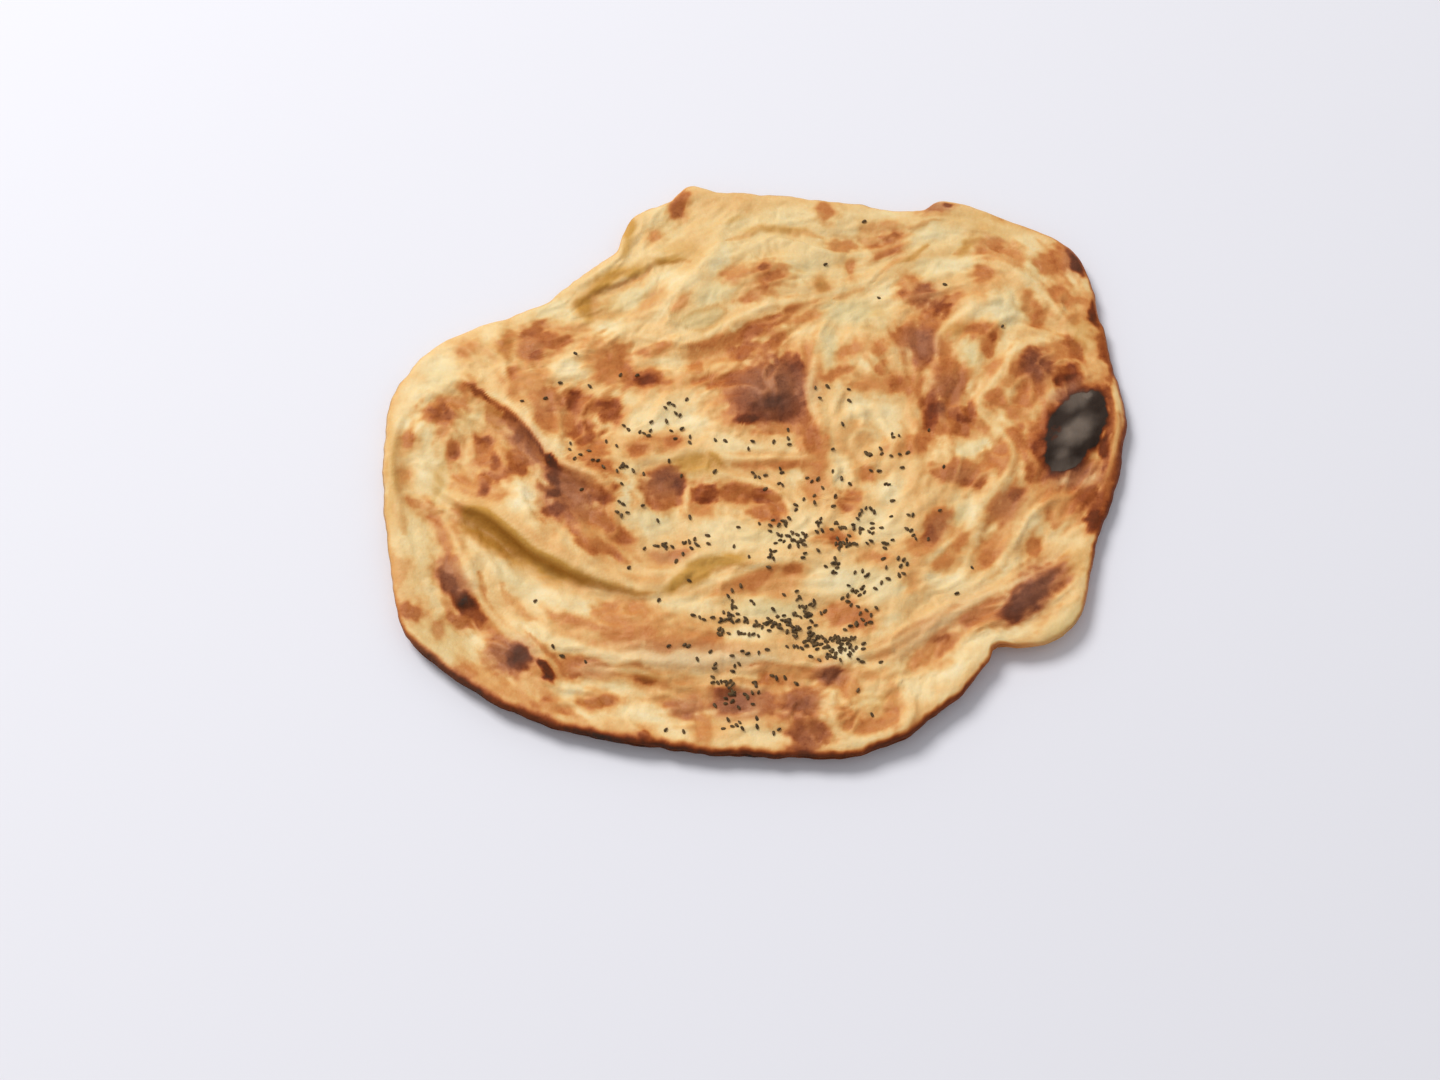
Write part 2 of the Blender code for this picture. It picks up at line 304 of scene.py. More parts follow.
FOLD_LINES = {name: smooth_curve(fold[-1], closed=False) - (0, LEAN * fold[0] * MM)
              for name, fold in FOLDS.items()}


def fold_shape(x, y, name):
    """What one fold adds to height, slide in x, slide in y, hollow, crest and back; the hollow is a mask
    for painted shade and the crest one for a painted highlight.
    """
    height, back, face, lap, _ = FOLDS[name]
    shape = np.zeros((6,) + x.shape)
    at = within(x, y, FOLD_LINES[name], 4 * back * MM)
    side, along, heading = path_frame(x[at], y[at], FOLD_LINES[name])
    side = side - lap * MM
    width = np.where(side > 0, back, face) * MM
    crest = np.exp(-(np.hypot(side, CREST_ROUND) - CREST_ROUND) / (CREST_FALL * width))
    hollow = np.exp(-((side + HOLLOW_AT * face * MM) / (HOLLOW_WIDTH * face * MM)) ** 2)
    ends = np.clip(np.sin(math.pi * along), 0, 1) ** 0.7
    near = np.exp(-((side + SLIDE_AT * face * MM) / (SLIDE_WIDTH * face * MM)) ** 2)
    slide = lap * MM * ends * near
    shape[0][at] = height * MM * ends * (crest - FACE_HOLLOW * hollow)
    shape[1][at] = slide * np.sin(heading)
    shape[2][at] = -slide * np.cos(heading)
    shape[3][at] = ends * hollow * min(height / 6, 1)
    shape[4][at] = ends * np.exp(-(side / (CREST_LINE + 0.1 * height * MM)) ** 2)
    behind = smooth_step(side, -1.0 * MM, 1.0 * MM) - smooth_step(side, BACK_START, BACK_END)
    shape[5][at] = ends * behind * np.clip((height - 3) / 4, 0, 1)
    return shape


def fold_relief(x, y):
    """All the folds together: height, slide in x and y, hollows, crests, and the backs of the big ones."""
    return sum(fold_shape(x, y, name) for name in FOLDS)


# %% [markdown]
# ## The grain of the dough
#
# The layers were coiled and rolled, so fine wrinkles and brown streaks run round the bread, and close
# to a fold they run along it. Noise can't simply be turned by a different angle at each place, because
# it would tear. Instead a few layers of noise are each stretched in one fixed direction, and each place
# takes most of the layer that runs its way.

# %% Streaks that follow the folds
GRAIN_CENTRE = (-8, 6)       # mm; the streaks run round this place
GRAIN_LAYERS = 9
GRAIN_FOCUS = 16             # how strictly a place keeps to the layers that run its way
FOLD_PULL = 5.0              # how much more a fold counts than the rounds of the coil
FOLD_PULL_REACH = 14         # mm


def grain_heading(x, y):
    """Heading of the streaks, from doubled angles, so that opposite headings count as one."""
    round_about = np.arctan2(y - GRAIN_CENTRE[1] * MM, x - GRAIN_CENTRE[0] * MM) + math.pi / 2
    across, up = np.cos(2 * round_about), np.sin(2 * round_about)
    for line in FOLD_LINES.values():
        at = within(x, y, line, 2.5 * FOLD_PULL_REACH * MM)
        side, _, heading = path_frame(x[at], y[at], line)
        pull = FOLD_PULL * np.exp(-(side / (FOLD_PULL_REACH * MM)) ** 2)
        across[at] += pull * np.cos(2 * heading)
        up[at] += pull * np.sin(2 * heading)
    return np.arctan2(up, across) / 2


def streaks(x, y, heading, length, width, seed):
    """Noise drawn out along the grain, its lumps length by width in mm."""
    total, power = 0, 0
    for layer in range(GRAIN_LAYERS):
        turn = math.pi * layer / GRAIN_LAYERS
        c, s = math.cos(turn), math.sin(turn)
        weight = np.cos(heading - turn) ** GRAIN_FOCUS
        along, across = (c * x + s * y) / (length * MM), (c * y - s * x) / (width * MM)
        total = total + weight * lumps(along, across, seed + layer)
        power = power + weight ** 2
    return total / np.sqrt(power)


# %% [markdown]
# ## Scorch marks
#
# Where the layers puff up they touch the pan and brown. The marks are the bread's own face, so they are
# placed one by one, as a cook would see them: an oval each, with a tone from 0, raw dough, to 1, charred
# black. Past 1 the black reaches right to the oval's edge. Two dark ovals at the left roll are painted
# shade on the shaded face below its ridge. They are painted in order, each over the ones before: wide
# faint washes, the scorch marks with their burnt cores last, the two blisters that burnt through, and
# thin strokes. Some strokes are painted shade, in the pocket under its lip, in creases and along the
# right rim, and two pale ones are painted highlights along ridges.

# %% The marks, quarter by quarter
# (x, y, half length, half width in mm, turn in degrees, tone)
BROAD_WASHES = [
    (20, 112, 110, 40, 0, 0.17), (-100, 80, 60, 18, 25, 0.17), (-150, -20, 40, 90, 0, 0.17),
    (100, -90, 60, 30, 35, 0.17), (-20, -98, 70, 20, 0, 0.37), (40, -50, 50, 30, 0, 0.22),
]
WASHES = [
    (-148, 20, 14, 9, 0, 0.4), (-130, 4, 22, 16, -40, 0.4), (-110, 38, 14, 10, -30, 0.46),
    (-106, 60, 14, 10, 0, 0.46), (-92, 16, 22, 16, -20, 0.5), (-70, 44, 13, 16, 0, 0.44),
    (-38, 36, 24, 6, 0, 0.46), (-15, 54, 20, 10, 20, 0.48), (6, 68, 24, 7, 30, 0.46),
    (-18, 24, 14, 9, 0, 0.42), (2, 96, 18, 12, 0, 0.42), (-32, 114, 13, 16, 0, 0.34),
    (-38, 142, 8, 12, -15, 0.36), (-76, 88, 18, 9, 25, 0.36), (36, 138, 9, 9, 0, 0.4),
    (-5, 141, 24, 7, 0, 0.3), (46, 116, 14, 5, 0, 0.42), (66, 117, 10, 10, 40, 0.44),
    (118, 114, 12, 9, 0, 0.36), (114, 97, 8, 8, 0, 0.34), (152, 106, 13, 12, 0, 0.44),
    (153, 86, 14, 8, -20, 0.44), (78, 84, 14, 12, 0, 0.4), (82, 58, 16, 14, 0, 0.5),
    (94, 36, 13, 26, 0, 0.5), (108, 65, 17, 7, 0, 0.44), (60, 36, 24, 7, 0, 0.46), (50, 56, 16, 6, 15, 0.4),
    (138, 42, 18, 18, 0, 0.52), (156, 56, 12, 10, 0, 0.44), (118, 26, 8, 8, 0, 0.44),
    (120, 2, 16, 9, 55, 0.5), (76, 4, 14, 9, 0, 0.44), (44, 8, 14, 12, 0, 0.34), (152, 9, 29, 18, 57, 0.6),
    (168, 20, 26, 6, 88, 0.56), (150, -24, 20, 16, 0, 0.52), (100, -14, 22, 9, 5, 0.48),
    (84, -46, 15, 9, 60, 0.34), (116, -30, 16, 9, 48, 0.34), (107, -56, 13, 8, 48, 0.36),
    (128, -76, 26, 12, 42, 0.56), (98, -86, 26, 6, 28, 0.46), (66, -100, 26, 8, 30, 0.34),
    (42, -88, 15, 9, 0, 0.48), (10, -68, 18, 8, 15, 0.44), (28, -8, 9, 22, 0, 0.46),
    (44, -28, 9, 8, 0, 0.42), (52, -54, 16, 6, 0, 0.38), (8, -7, 26, 5, 0, 0.46),
    (-8, -26, 24, 9, -6, 0.54), (-44, -21, 13, 12, 0, 0.52), (-84, -26, 22, 20, -50, 0.54),
    (-68, -50, 20, 8, -30, 0.5), (-52, 2, 14, 5, 0, 0.38), (-134, -14, 16, 12, 0, 0.4),
    (-115, -9, 8, 10, 0, 0.44), (-148, -46, 18, 6, -58, 0.44), (-138, -78, 20, 9, -58, 0.52),
    (-112, -107, 16, 11, -20, 0.46), (-122, -120, 22, 6, -28, 0.36), (-76, -114, 22, 7, -6, 0.46),
    (-56, -93, 22, 14, 0, 0.5), (-36, -98, 22, 7, -6, 0.48), (-84, -93, 18, 4, -16, 0.4),
    (-72, -130, 14, 5, 0, 0.44), (-28, -130, 22, 9, 0, 0.48), (-2, -130, 22, 12, 0, 0.48),
    (14, -116, 26, 7, -5, 0.48), (20, -134, 16, 16, 0, 0.5), (22, -148, 12, 10, 0, 0.5),
    (50, -140, 18, 8, 0, 0.42), (-20, -146, 14, 8, 0, 0.36), (-162, -78, 8, 14, 0, 0.34),
    (-90, -135, 18, 4, -28, 0.42), (-24, -10, 14, 6, 0, 0.3), (0, -40, 60, 30, 0, 0.16),
]
SCORCH_AND_SHADE = {
    "far left": [
        (-142, 55, 5, 5.5, 0, 0.5), (-152, 20, 12, 7, 0, 0.58), (-152, 20, 7, 4, 0, 0.74),
        (-144, 26, 7, 3, 10, 0.52), (-139, 33, 7, 4, -15, 0.6), (-134, 32, 6, 2.5, -35, 0.84),
        (-167, 4, 4.5, 5, 0, 0.56), (-149, 9, 4, 4, 0, 0.48), (-146, -1, 4.5, 6, 0, 0.68),
        (-130, 0, 7, 6, 0, 0.6), (-130, 4, 6, 2.5, 0, 0.74), (-126, 17, 8, 4, -60, 0.56),
        (-115, 14, 14, 6, -52, 0.62), (-118, 18, 5, 4, 0, 0.72), (-114, 6, 4, 7, 0, 0.72),
        (-107, 1, 5, 10, 20, 0.68), (-122, 57, 4, 9, 0, 0.54), (-118, 38, 4.5, 7, 20, 0.6),
        (-110, 37, 8, 6, 0, 0.46), (-110, 66, 8, 3.5, 42, 0.64), (-104, 61, 9, 6, 0, 0.66),
        (-97, 59, 8, 4, 0, 0.66), (-110, 55, 6, 8, 0, 0.54), (-107, 51, 2.5, 2.5, 0, 0.72),
        (-90, 67, 8, 2, 0, 0.44), (-83, 60, 7, 2, 0, 0.46), (-76, 55, 9, 5, 30, 0.48),
        (-68, 52, 5, 8, 0, 0.56), (-72, 42, 8, 8, 0, 0.54), (-64, 41, 3.5, 8, 0, 0.62),
        (-100, 27, 9, 7, 0, 0.56), (-97, 22, 5, 3, 0, 0.7), (-85, 24, 12, 6, 0, 0.64),
        (-89, 28, 3.5, 7, -25, 0.78), (-71, 21, 5.5, 8, 0, 0.72), (-72, 24, 4, 3, 0, 0.8),
        (-103, 16, 6, 6, 0, 0.58), (-94, 14, 8, 5, 0, 0.56), (-84, 8, 9, 8, -20, 0.72),
        (-83, 6, 4, 4, 0, 0.72), (-77, -1, 6, 6, 0, 0.56), (-54, 38, 12, 5, 0, 0.64),
        (-53, 38, 6, 3, 0, 0.86), (-48, 56, 9, 3, 25, 0.52), (-31, 57, 4, 2.5, 0, 0.54),
        (-30, 45, 4, 4, 0, 0.54), (-20, 37, 12, 5, 5, 0.62), (-24, 58, 9, 4, 20, 0.56),
        (-5, 64, 20, 5, 33, 0.57), (-2, 65, 7, 3, 35, 0.68), (9, 71, 7, 3, 33, 0.64),
        (18, 78, 8, 3.5, 32, 0.62), (-5, 55, 8, 3.5, 45, 0.66), (-11, 54, 4, 3, 0, 0.6),
        (8, 59, 11, 3.5, 38, 0.64), (-50, 2, 12, 4, 5, 0.5), (-57, -1, 4, 3, 0, 0.62),
        (-40, 5, 5, 3, 0, 0.6), (8, 98, 9, 9, 0, 0.54), (9, 98, 5, 4, 0, 0.66), (5, 103, 4, 2, 20, 0.72),
        (2, 90, 3.5, 6, -35, 0.7), (-3, 86, 9, 4, 25, 0.54), (-10, 100, 7, 5, 0, 0.5),
        (-38, 142, 4, 10, -12, 0.62), (-84, 82, 7, 7, 0, 0.42), (-38, 138, 3, 5, -12, 0.7),
        (-50, 121, 5, 3, 20, 0.5), (-37, 82, 7, 2.5, 62, 0.48), (-52, 83, 9, 2, 55, 0.4),
        (-75, 75, 7, 3, 0, 0.42), (-12, 17, 6, 6, 0, 0.46), (-68, 94, 10, 4, 15, 0.44),
    ],
    "far right": [
        (6, 34, 19, 15, 20, 0.7), (16, 42, 9, 12, -20, 0.74), (-9, 36, 8, 7, 0, 0.66),
        (18, 45, 4, 8, -20, 0.82), (10, 26, 14, 10, 0, 0.8), (11, 24, 11, 8, 10, 0.86),
        (-3, 17, 8, 5, 15, 0.84), (-8, 26, 7, 8, 0, 0.62), (0, 36, 5, 5, 0, 0.78), (20, 16, 8, 6, 0, 0.68),
        (10, 11, 14, 4, 0, 0.56), (26, 6, 6, 10, 0, 0.62), (29, -4, 5, 9, 0, 0.6), (26, 50, 4, 12, 0, 0.52),
        (40, 41, 9, 3.5, 22, 0.56), (46, 55, 7, 4, 25, 0.52), (27, 83, 6, 2, 10, 0.48),
        (25, 73, 7, 3, 20, 0.52), (33, 92, 3, 4, 0, 0.46), (36, 136, 4, 6, 0, 0.58),
        (56, 127, 4, 3, 0, 0.44), (68, 127, 6, 2.5, 0, 0.46), (65, 116, 10, 7, 45, 0.62),
        (69, 121, 5, 2, 10, 0.7), (45, 115, 9, 4, 0, 0.52), (58, 118, 7, 2.5, 0, 0.46),
        (47, 102, 2.5, 6, 0, 0.52), (86, 139, 5, 2.5, 0, 0.78), (92, 138, 6, 3, 0, 0.56),
        (98, 140, 3.5, 2, 0, 0.84), (120, 136, 6, 2.5, -30, 0.84), (117, 115, 8, 8, 0, 0.56),
        (129, 108, 5, 6, 0, 0.5), (114, 98, 5.5, 7, 0, 0.58), (111, 89, 4, 4, 0, 0.44),
        (145, 105, 6, 7, 0, 0.56), (153, 109, 7, 10, 0, 0.66), (158, 112, 3.5, 6, 25, 0.8),
        (160, 104, 4, 7, 0, 0.9), (151, 87, 6, 6, 0, 0.6), (160, 83, 9, 3, -12, 0.52),
        (134, 84, 3, 7, -15, 0.5), (139, 75, 4, 7, 0, 0.58), (155, 72, 6, 4, 0, 0.48),
        (167, 75, 3, 8, 10, 0.9), (170, 56, 3, 10, 5, 0.7), (80, 87, 9, 7, 0, 0.66),
        (76, 94, 5, 4, 0, 0.54), (88, 76, 6, 8, -25, 0.66), (93, 80, 8, 3.5, 55, 0.82),
        (99, 85, 7, 3, 25, 0.58), (85, 69, 6, 6, 0, 0.58), (80, 58, 9, 10, 0, 0.66),
        (72, 63, 5, 6, 0, 0.64), (80, 48, 5, 5, 0, 0.68), (92, 54, 5, 9, 0, 0.56), (94, 42, 7, 8, 0, 0.58),
        (94, 33, 9, 8, 0, 0.62), (92, 14, 13, 9, 20, 0.6), (85, 22, 6, 9, 0, 0.72),
        (84, 17, 3.5, 8, 0, 0.84), (79, 26, 3, 5, 0, 0.66), (100, 18, 6, 5, 0, 0.74),
        (100, 16, 3, 3, 0, 0.84), (104, 23, 4, 2, 0, 0.7), (97, 10, 7, 4, 40, 0.66),
        (110, 13, 5, 4, 0, 0.54), (62, 57, 7, 4, 60, 0.54), (61, 45, 3.5, 4, 0, 0.6),
        (69, 36, 9, 5, -15, 0.58), (68, 38, 4, 3, 0, 0.66), (77, 36, 4, 5, 0, 0.58),
        (55, 35, 10, 3, 0, 0.48), (100, 66, 8, 4, 0, 0.42), (110, 65, 9, 5, 0, 0.6),
        (114, 63, 4, 2.5, 0, 0.74), (112, 56, 3, 7, 0, 0.6), (116, 45, 6, 3.5, 40, 0.5),
        (135, 39, 10, 12, 0, 0.62), (137, 47, 8, 10, 20, 0.78), (148, 54, 8, 6, 0, 0.56),
        (155, 55, 4, 8, 25, 0.68), (150, 39, 9, 6, 0, 0.8), (150, 39, 8, 3.5, 35, 0.9),
        (153, 44, 5, 3, 0, 0.8), (131, 27, 7, 5, 0, 0.58), (124, 36, 6, 4, 0, 0.5),
        (116, 27, 6, 6, 0, 0.58), (123, 20, 3.5, 4, 0, 0.5), (121, 2, 13, 6, 55, 0.6),
        (76, 3, 6, 6, 0, 0.62), (66, 0, 6, 4, 0, 0.48), (171, 22, 3, 16, 0, 0.78),
        (139, 76, 2.5, 3, 0, 0.66), (47, 6, 8, 6, 0, 0.34),
    ],
    "near left": [
        (-132, -37, 6.5, 6.5, -20, 0.5), (-125, -7, 3, 6, 0, 0.74), (-122, -14, 5, 4, 0, 0.66),
        (-130, -20, 4.5, 7, 0, 0.76), (-138, -19, 8, 5, 0, 0.5), (-114, -9, 5.5, 8, 10, 0.66),
        (-112, -12, 3, 4, 0, 0.74), (-132, -7, 5, 4, 0, 0.58), (-122, -26, 5, 2.5, 0, 0.46),
        (-168, -15, 3, 4, 0, 0.44), (-88, -20, 15, 12, -50, 0.66), (-90, -31, 9, 9, 0, 0.62),
        # On this line, (-97, -10) and (-98, -7) are painted shade on the shaded face below the left roll's
        # ridge.
        (-97, -10, 4, 10, 15, 0.86), (-98, -7, 3, 6, 15, 0.94), (-96, -24, 3.5, 4, 0, 0.84),
        (-96, -33, 5, 4, 0, 0.78), (-73, -24, 7, 8, 20, 0.76), (-71, -28, 3, 4, 0, 0.82),
        (-76, -11, 7, 5, 0, 0.64), (-77, -38, 12, 7, -15, 0.6), (-75, -52, 16, 4, -28, 0.64),
        (-65, -47, 8, 4.5, -15, 0.7), (-40, -58, 12, 3.5, 5, 0.46), (-37, -55, 5, 2.5, 10, 0.54),
        (-44, -20, 11, 10, 0, 0.66), (-43, -16, 7, 4, 0, 0.74), (-37, -21, 4, 5, 0, 0.84),
        (-43, -29, 11, 3.5, 0, 0.66), (-25, -24, 7, 6, 0, 0.76), (-26, -29, 4, 2.5, 0, 0.84),
        (-20, -21, 3, 2.5, 0, 0.78), (-28, -34, 7, 3.5, 0, 0.5), (-10, -24, 7, 5, 0, 0.64),
        (-5, -25, 3, 5, 0, 0.76), (-160, -30, 6, 2.5, -25, 0.54), (-151, -37, 9, 3.5, -55, 0.6),
        (-145, -47, 9, 4.5, -75, 0.52), (-142, -60, 5, 6, 0, 0.6), (-141, -72, 14, 6, -65, 0.64),
        (-145, -69, 7, 3, -55, 0.8), (-140, -76, 10, 3, -60, 0.78), (-135, -82, 9, 5.5, -60, 0.86),
        (-135, -81, 5, 3.5, -70, 0.94), (-130, -89, 7, 2.5, -50, 0.78), (-137, -91, 7, 3.5, -20, 0.62),
        (-121, -96, 8, 2.5, -30, 0.5), (-160, -86, 7, 4.5, 0, 0.66), (-167, -65, 4, 8, 5, 0.5),
        (-147, -95, 3.5, 5, 0, 0.5), (-116, -106, 10, 9, 0, 0.6), (-110, -108, 5.5, 9, 10, 0.82),
        (-109, -107, 3.5, 5, 10, 0.9), (-97, -115, 8, 2.8, -58, 0.92), (-132, -116, 6, 3.5, -25, 0.5),
        (-111, -127, 12, 3, -20, 0.44), (-94, -133, 10, 3, -25, 0.6), (-80, -113, 13, 5.5, -5, 0.56),
        (-83, -118, 4, 2, 0, 0.66), (-60, -114, 10, 2.8, 0, 0.55), (-50, -119, 8, 3.2, 0, 0.72),
        (-62, -87, 13, 10, 0, 0.5), (-58, -97, 14, 4, 3, 0.54), (-42, -101, 14, 4, 0, 0.5),
        (-24, -99, 8, 4, 0, 0.54), (-84, -91, 14, 2.5, -16, 0.5), (-73, -131, 9, 3.5, 0, 0.62),
        (-33, -134, 10, 5.5, 0, 0.6), (-33, -135, 6, 2, 0, 0.7), (-11, -130, 13, 7, 0, 0.64),
        (-6, -132, 8, 4, 0, 0.72), (-16, -126, 4, 3, 0, 0.74), (-25, -143, 4, 8, 0, 0.5),
        (-38, -121, 9, 3, 0, 0.48), (-36, -128, 12, 2, 0, 0.5), (-52, -147, 4, 2.5, 0, 0.8),
        (-12, -74, 9, 4, 25, 0.48),
    ],
    "near right": [
        (2, -25, 6, 5, 0, 0.8), (8, -27, 4, 4, 0, 0.7), (4, -34, 9, 6, 0, 0.6), (5, -8, 20, 4, 0, 0.54),
        (24, -8, 10, 3.5, 0, 0.58), (27, -22, 5, 9, 0, 0.5), (44, -29, 7, 6.5, 0, 0.64),
        (53, -13, 5, 5, -30, 0.54), (96, -13, 14, 7, -8, 0.57), (103, -19, 6, 3.5, 0, 0.68),
        (88, -13, 6, 4, 0, 0.6), (115, -6, 9, 7, 40, 0.56), (84, -41, 12, 5.5, 62, 0.57),
        (80, -48, 6, 4, 60, 0.7), (76, -53, 6, 5, 0, 0.6), (94, -51, 11, 3.5, 55, 0.56),
        (88, -58, 7, 4, 20, 0.54), (118, -30, 13, 7.5, 48, 0.56), (122, -25, 6, 4, 50, 0.68),
        (107, -56, 10, 6, 48, 0.5), (106, -59, 4, 4, 0, 0.6), (115, -47, 8, 3, 62, 0.44),
        (129, -53, 3.5, 7, 10, 0.56), (137, -68, 9, 8, 45, 0.66), (126, -77, 17, 8.5, 44, 0.76),
        (126, -78, 12, 6, 44, 0.84), (117, -86, 6, 4.5, 20, 0.9), (102, -86, 12, 4.5, 28, 0.54),
        (97, -90, 5, 3, 40, 0.62), (83, -103, 9, 5, 40, 0.58), (84, -101, 4, 3, 40, 0.7),
        (76, -108, 11, 4, 35, 0.5), (72, -68, 4, 9, -15, 0.42), (149, -25, 12, 9, 0, 0.62),
        (157, -26, 7, 7, 0, 0.74), (147, -32, 6, 5, 0, 0.66), (158, -39, 4.5, 8, -15, 0.9),
        (151, -11, 14, 5, 10, 0.64), (133, -9, 5, 8, 0, 0.7), (142, -32, 8, 10, 0, 0.52),
        (168, -10, 3, 14, -14, 0.8), (36, -48, 10, 5, 0, 0.56), (37, -50, 4, 3, -40, 0.74),
        (54, -57, 9, 3.5, 0, 0.5), (-2, -69, 14, 6, 18, 0.54), (16, -64, 6, 3.5, 15, 0.6),
        (10, -73, 7, 6, 0, 0.42), (40, -88, 9, 7, 0, 0.54), (49, -90, 5, 5, 0, 0.58),
        (30, -116, 12, 5, -8, 0.6), (34, -117, 6, 4.5, 0, 0.8), (40, -123, 6, 6, -40, 0.56),
        (10, -117, 14, 5, 0, 0.54), (5, -120, 6, 3, 0, 0.62), (18, -131, 10, 7.5, 0, 0.62),
        (18, -132, 6, 3.5, 0, 0.7), (4, -132, 5, 5, 0, 0.62), (22, -146, 9, 10, 0, 0.7),
        (20, -143, 4, 5, 0, 0.7), (25, -151, 5, 4, 0, 0.7), (70, -142, 4, 3.5, 0, 0.48),
        (60, -127, 3, 8, 0, 0.44), (48, -118, 9, 2.5, 0, 0.48), (68, -103, 14, 3, 32, 0.36),
        (56, -107, 8, 3, 30, 0.46), (50, -142, 12, 4, 0, 0.56), (40, -138, 5, 5, -40, 0.56),
        (61, -137, 4, 5, 0, 0.52),
    ],
}
# The two big blisters burnt right through, one of them to charcoal, and have a clean edge.
CHAR = [
    (5, 32, 18, 14, 20, 0.69), (15, 40, 8, 12, -15, 0.73), (10, 23, 14, 9, 5, 0.81),
    (-4, 16, 5, 2.8, 15, 0.9), (19, 45, 4, 3, 20, 0.82), (8, 26, 6, 3, 20, 0.87),
    (148, 10, 30, 17, 58, 0.64), (152, 10, 27, 14.5, 58, 0.9), (153, 10, 25, 12.5, 58, 1.12),
    (147, -5, 9, 6, 30, 1.12), (142, 8, 3, 8, -35, 0.98), (135, 0, 4, 5, 0, 0.84),
    (166, 1, 9, 2.5, 75, 0.88),
]
# (half width in mm, tone, the line in mm)
STROKES = [
    # Painted shade and oily ochre in the pocket under its lip.
    (9.0, 0.38, [
        (-140, -34), (-129, -39), (-121, -44), (-112, -51), (-102, -58), (-91, -64), (-79, -69),
        (-66, -72)]),
    (6.5, 0.22, [(-40, -72), (-33, -67), (-26, -63), (-17, -60), (-6, -58)]),
    (1.2, 0.4, [(-42, -75), (-31, -70), (-20, -65), (-10, -62), (0, -60)]),
    # Burnt crust along the right rim, darkened further by painted shade.
    (3.0, 0.74, [(170, 26), (172, 10), (171, -6), (167, -20), (162, -34)]),
    (1.6, 0.8, [(168, 82), (170, 66), (172, 48), (173, 34)]),
    # Painted shade: the dark core of the pocket right under its lip, in this stroke and the next two.
    (5.0, 0.54, [(-127, -38), (-119, -43), (-113, -48), (-106, -53), (-96, -59), (-86, -65), (-76, -69)]),
    (7.0, 0.52, [(-142, -30), (-136, -33), (-130, -37), (-123, -42), (-116, -46)]),
    (7.0, 0.5, [(-143, -34), (-137, -38), (-131, -41), (-125, -45), (-118, -50), (-110, -56)]),
    (2.2, 0.42, [(-25, -2), (-20, -5), (-15, -9)]),
    (3.5, 0.4, [(-84, 78), (-81, 86), (-76, 92), (-69, 96), (-60, 99)]),
    # A painted highlight beside the crease of the left roll; the next stroke is painted shade on its shaded
    # face.
    (2.2, 0.1, [(-130, 32), (-120, 25), (-111, 16), (-104, 8), (-98, 1), (-91, -5)]),
    (1.6, 0.86, [
        (-142, 36), (-136, 33), (-129, 28), (-122, 22), (-115, 15), (-109, 8), (-104, 1), (-99, -6)]),
    # Painted shade in the creases of the far corner and, next, the far edge.
    (1.4, 0.46, [
        (-88, 82), (-80, 86), (-72, 91), (-64, 93), (-56, 99), (-50, 105), (-42, 106), (-32, 107)]),
    (2.0, 0.4, [(-15, 118), (-6, 122), (4, 125), (14, 125), (24, 123), (34, 119)]),
    # Painted shade in the groove of the long diagonal, in this stroke and the next two.
    (1.6, 0.44, [(58, 94), (66, 100), (72, 106), (80, 111), (88, 116)]),
    (1.6, 0.44, [(98, 111), (104, 114), (110, 120)]),
    (2.2, 0.46, [(38, 85), (46, 88), (54, 92)]),
    (1.3, 0.6, [(-106, -96), (-99, -103), (-91, -112), (-88, -118)]),
    (1.4, 0.58, [(-6, -112), (6, -112), (16, -113), (24, -115), (30, -116)]),
    (1.3, 0.56, [(-129, -66), (-128, -75), (-127, -84)]),
    (1.8, 0.42, [(-119, -70), (-115, -79), (-108, -86), (-101, -91)]),
    (2.2, 0.4, [(-175, 2), (-173, -14), (-169, -32), (-166, -46)]),
    (1.5, 0.44, [(-138, 61), (-131, 55), (-124, 48)]),
    (1.4, 0.5, [(-78, -71), (-66, -73), (-54, -76), (-46, -78)]),
    (1.6, 0.34, [(52, 67), (58, 67), (65, 66)]),
    (1.4, 0.42, [(74, 125), (82, 128), (92, 131)]),
    (2.2, 0.44, [(48, -110), (58, -103), (70, -96), (84, -89), (94, -82)]),
    (1.6, 0.3, [(-151, -8), (-151, -20), (-152, -30)]),
    # A painted highlight along the crest of the seed step.
    (2.4, 0.12, [(-92, -104), (-70, -108), (-48, -109), (-20, -109), (4, -109)]),
    (2.0, 0.44, [(-48, -128), (-38, -127), (-26, -127)]),
    (1.2, 0.36, [(-38, 70), (-33, 75), (-26, 77), (-18, 79), (-15, 75), (-20, 70), (-28, 67), (-36, 68)]),
]
print(f"{sum(map(len, SCORCH_AND_SHADE.values()))} scorch marks")
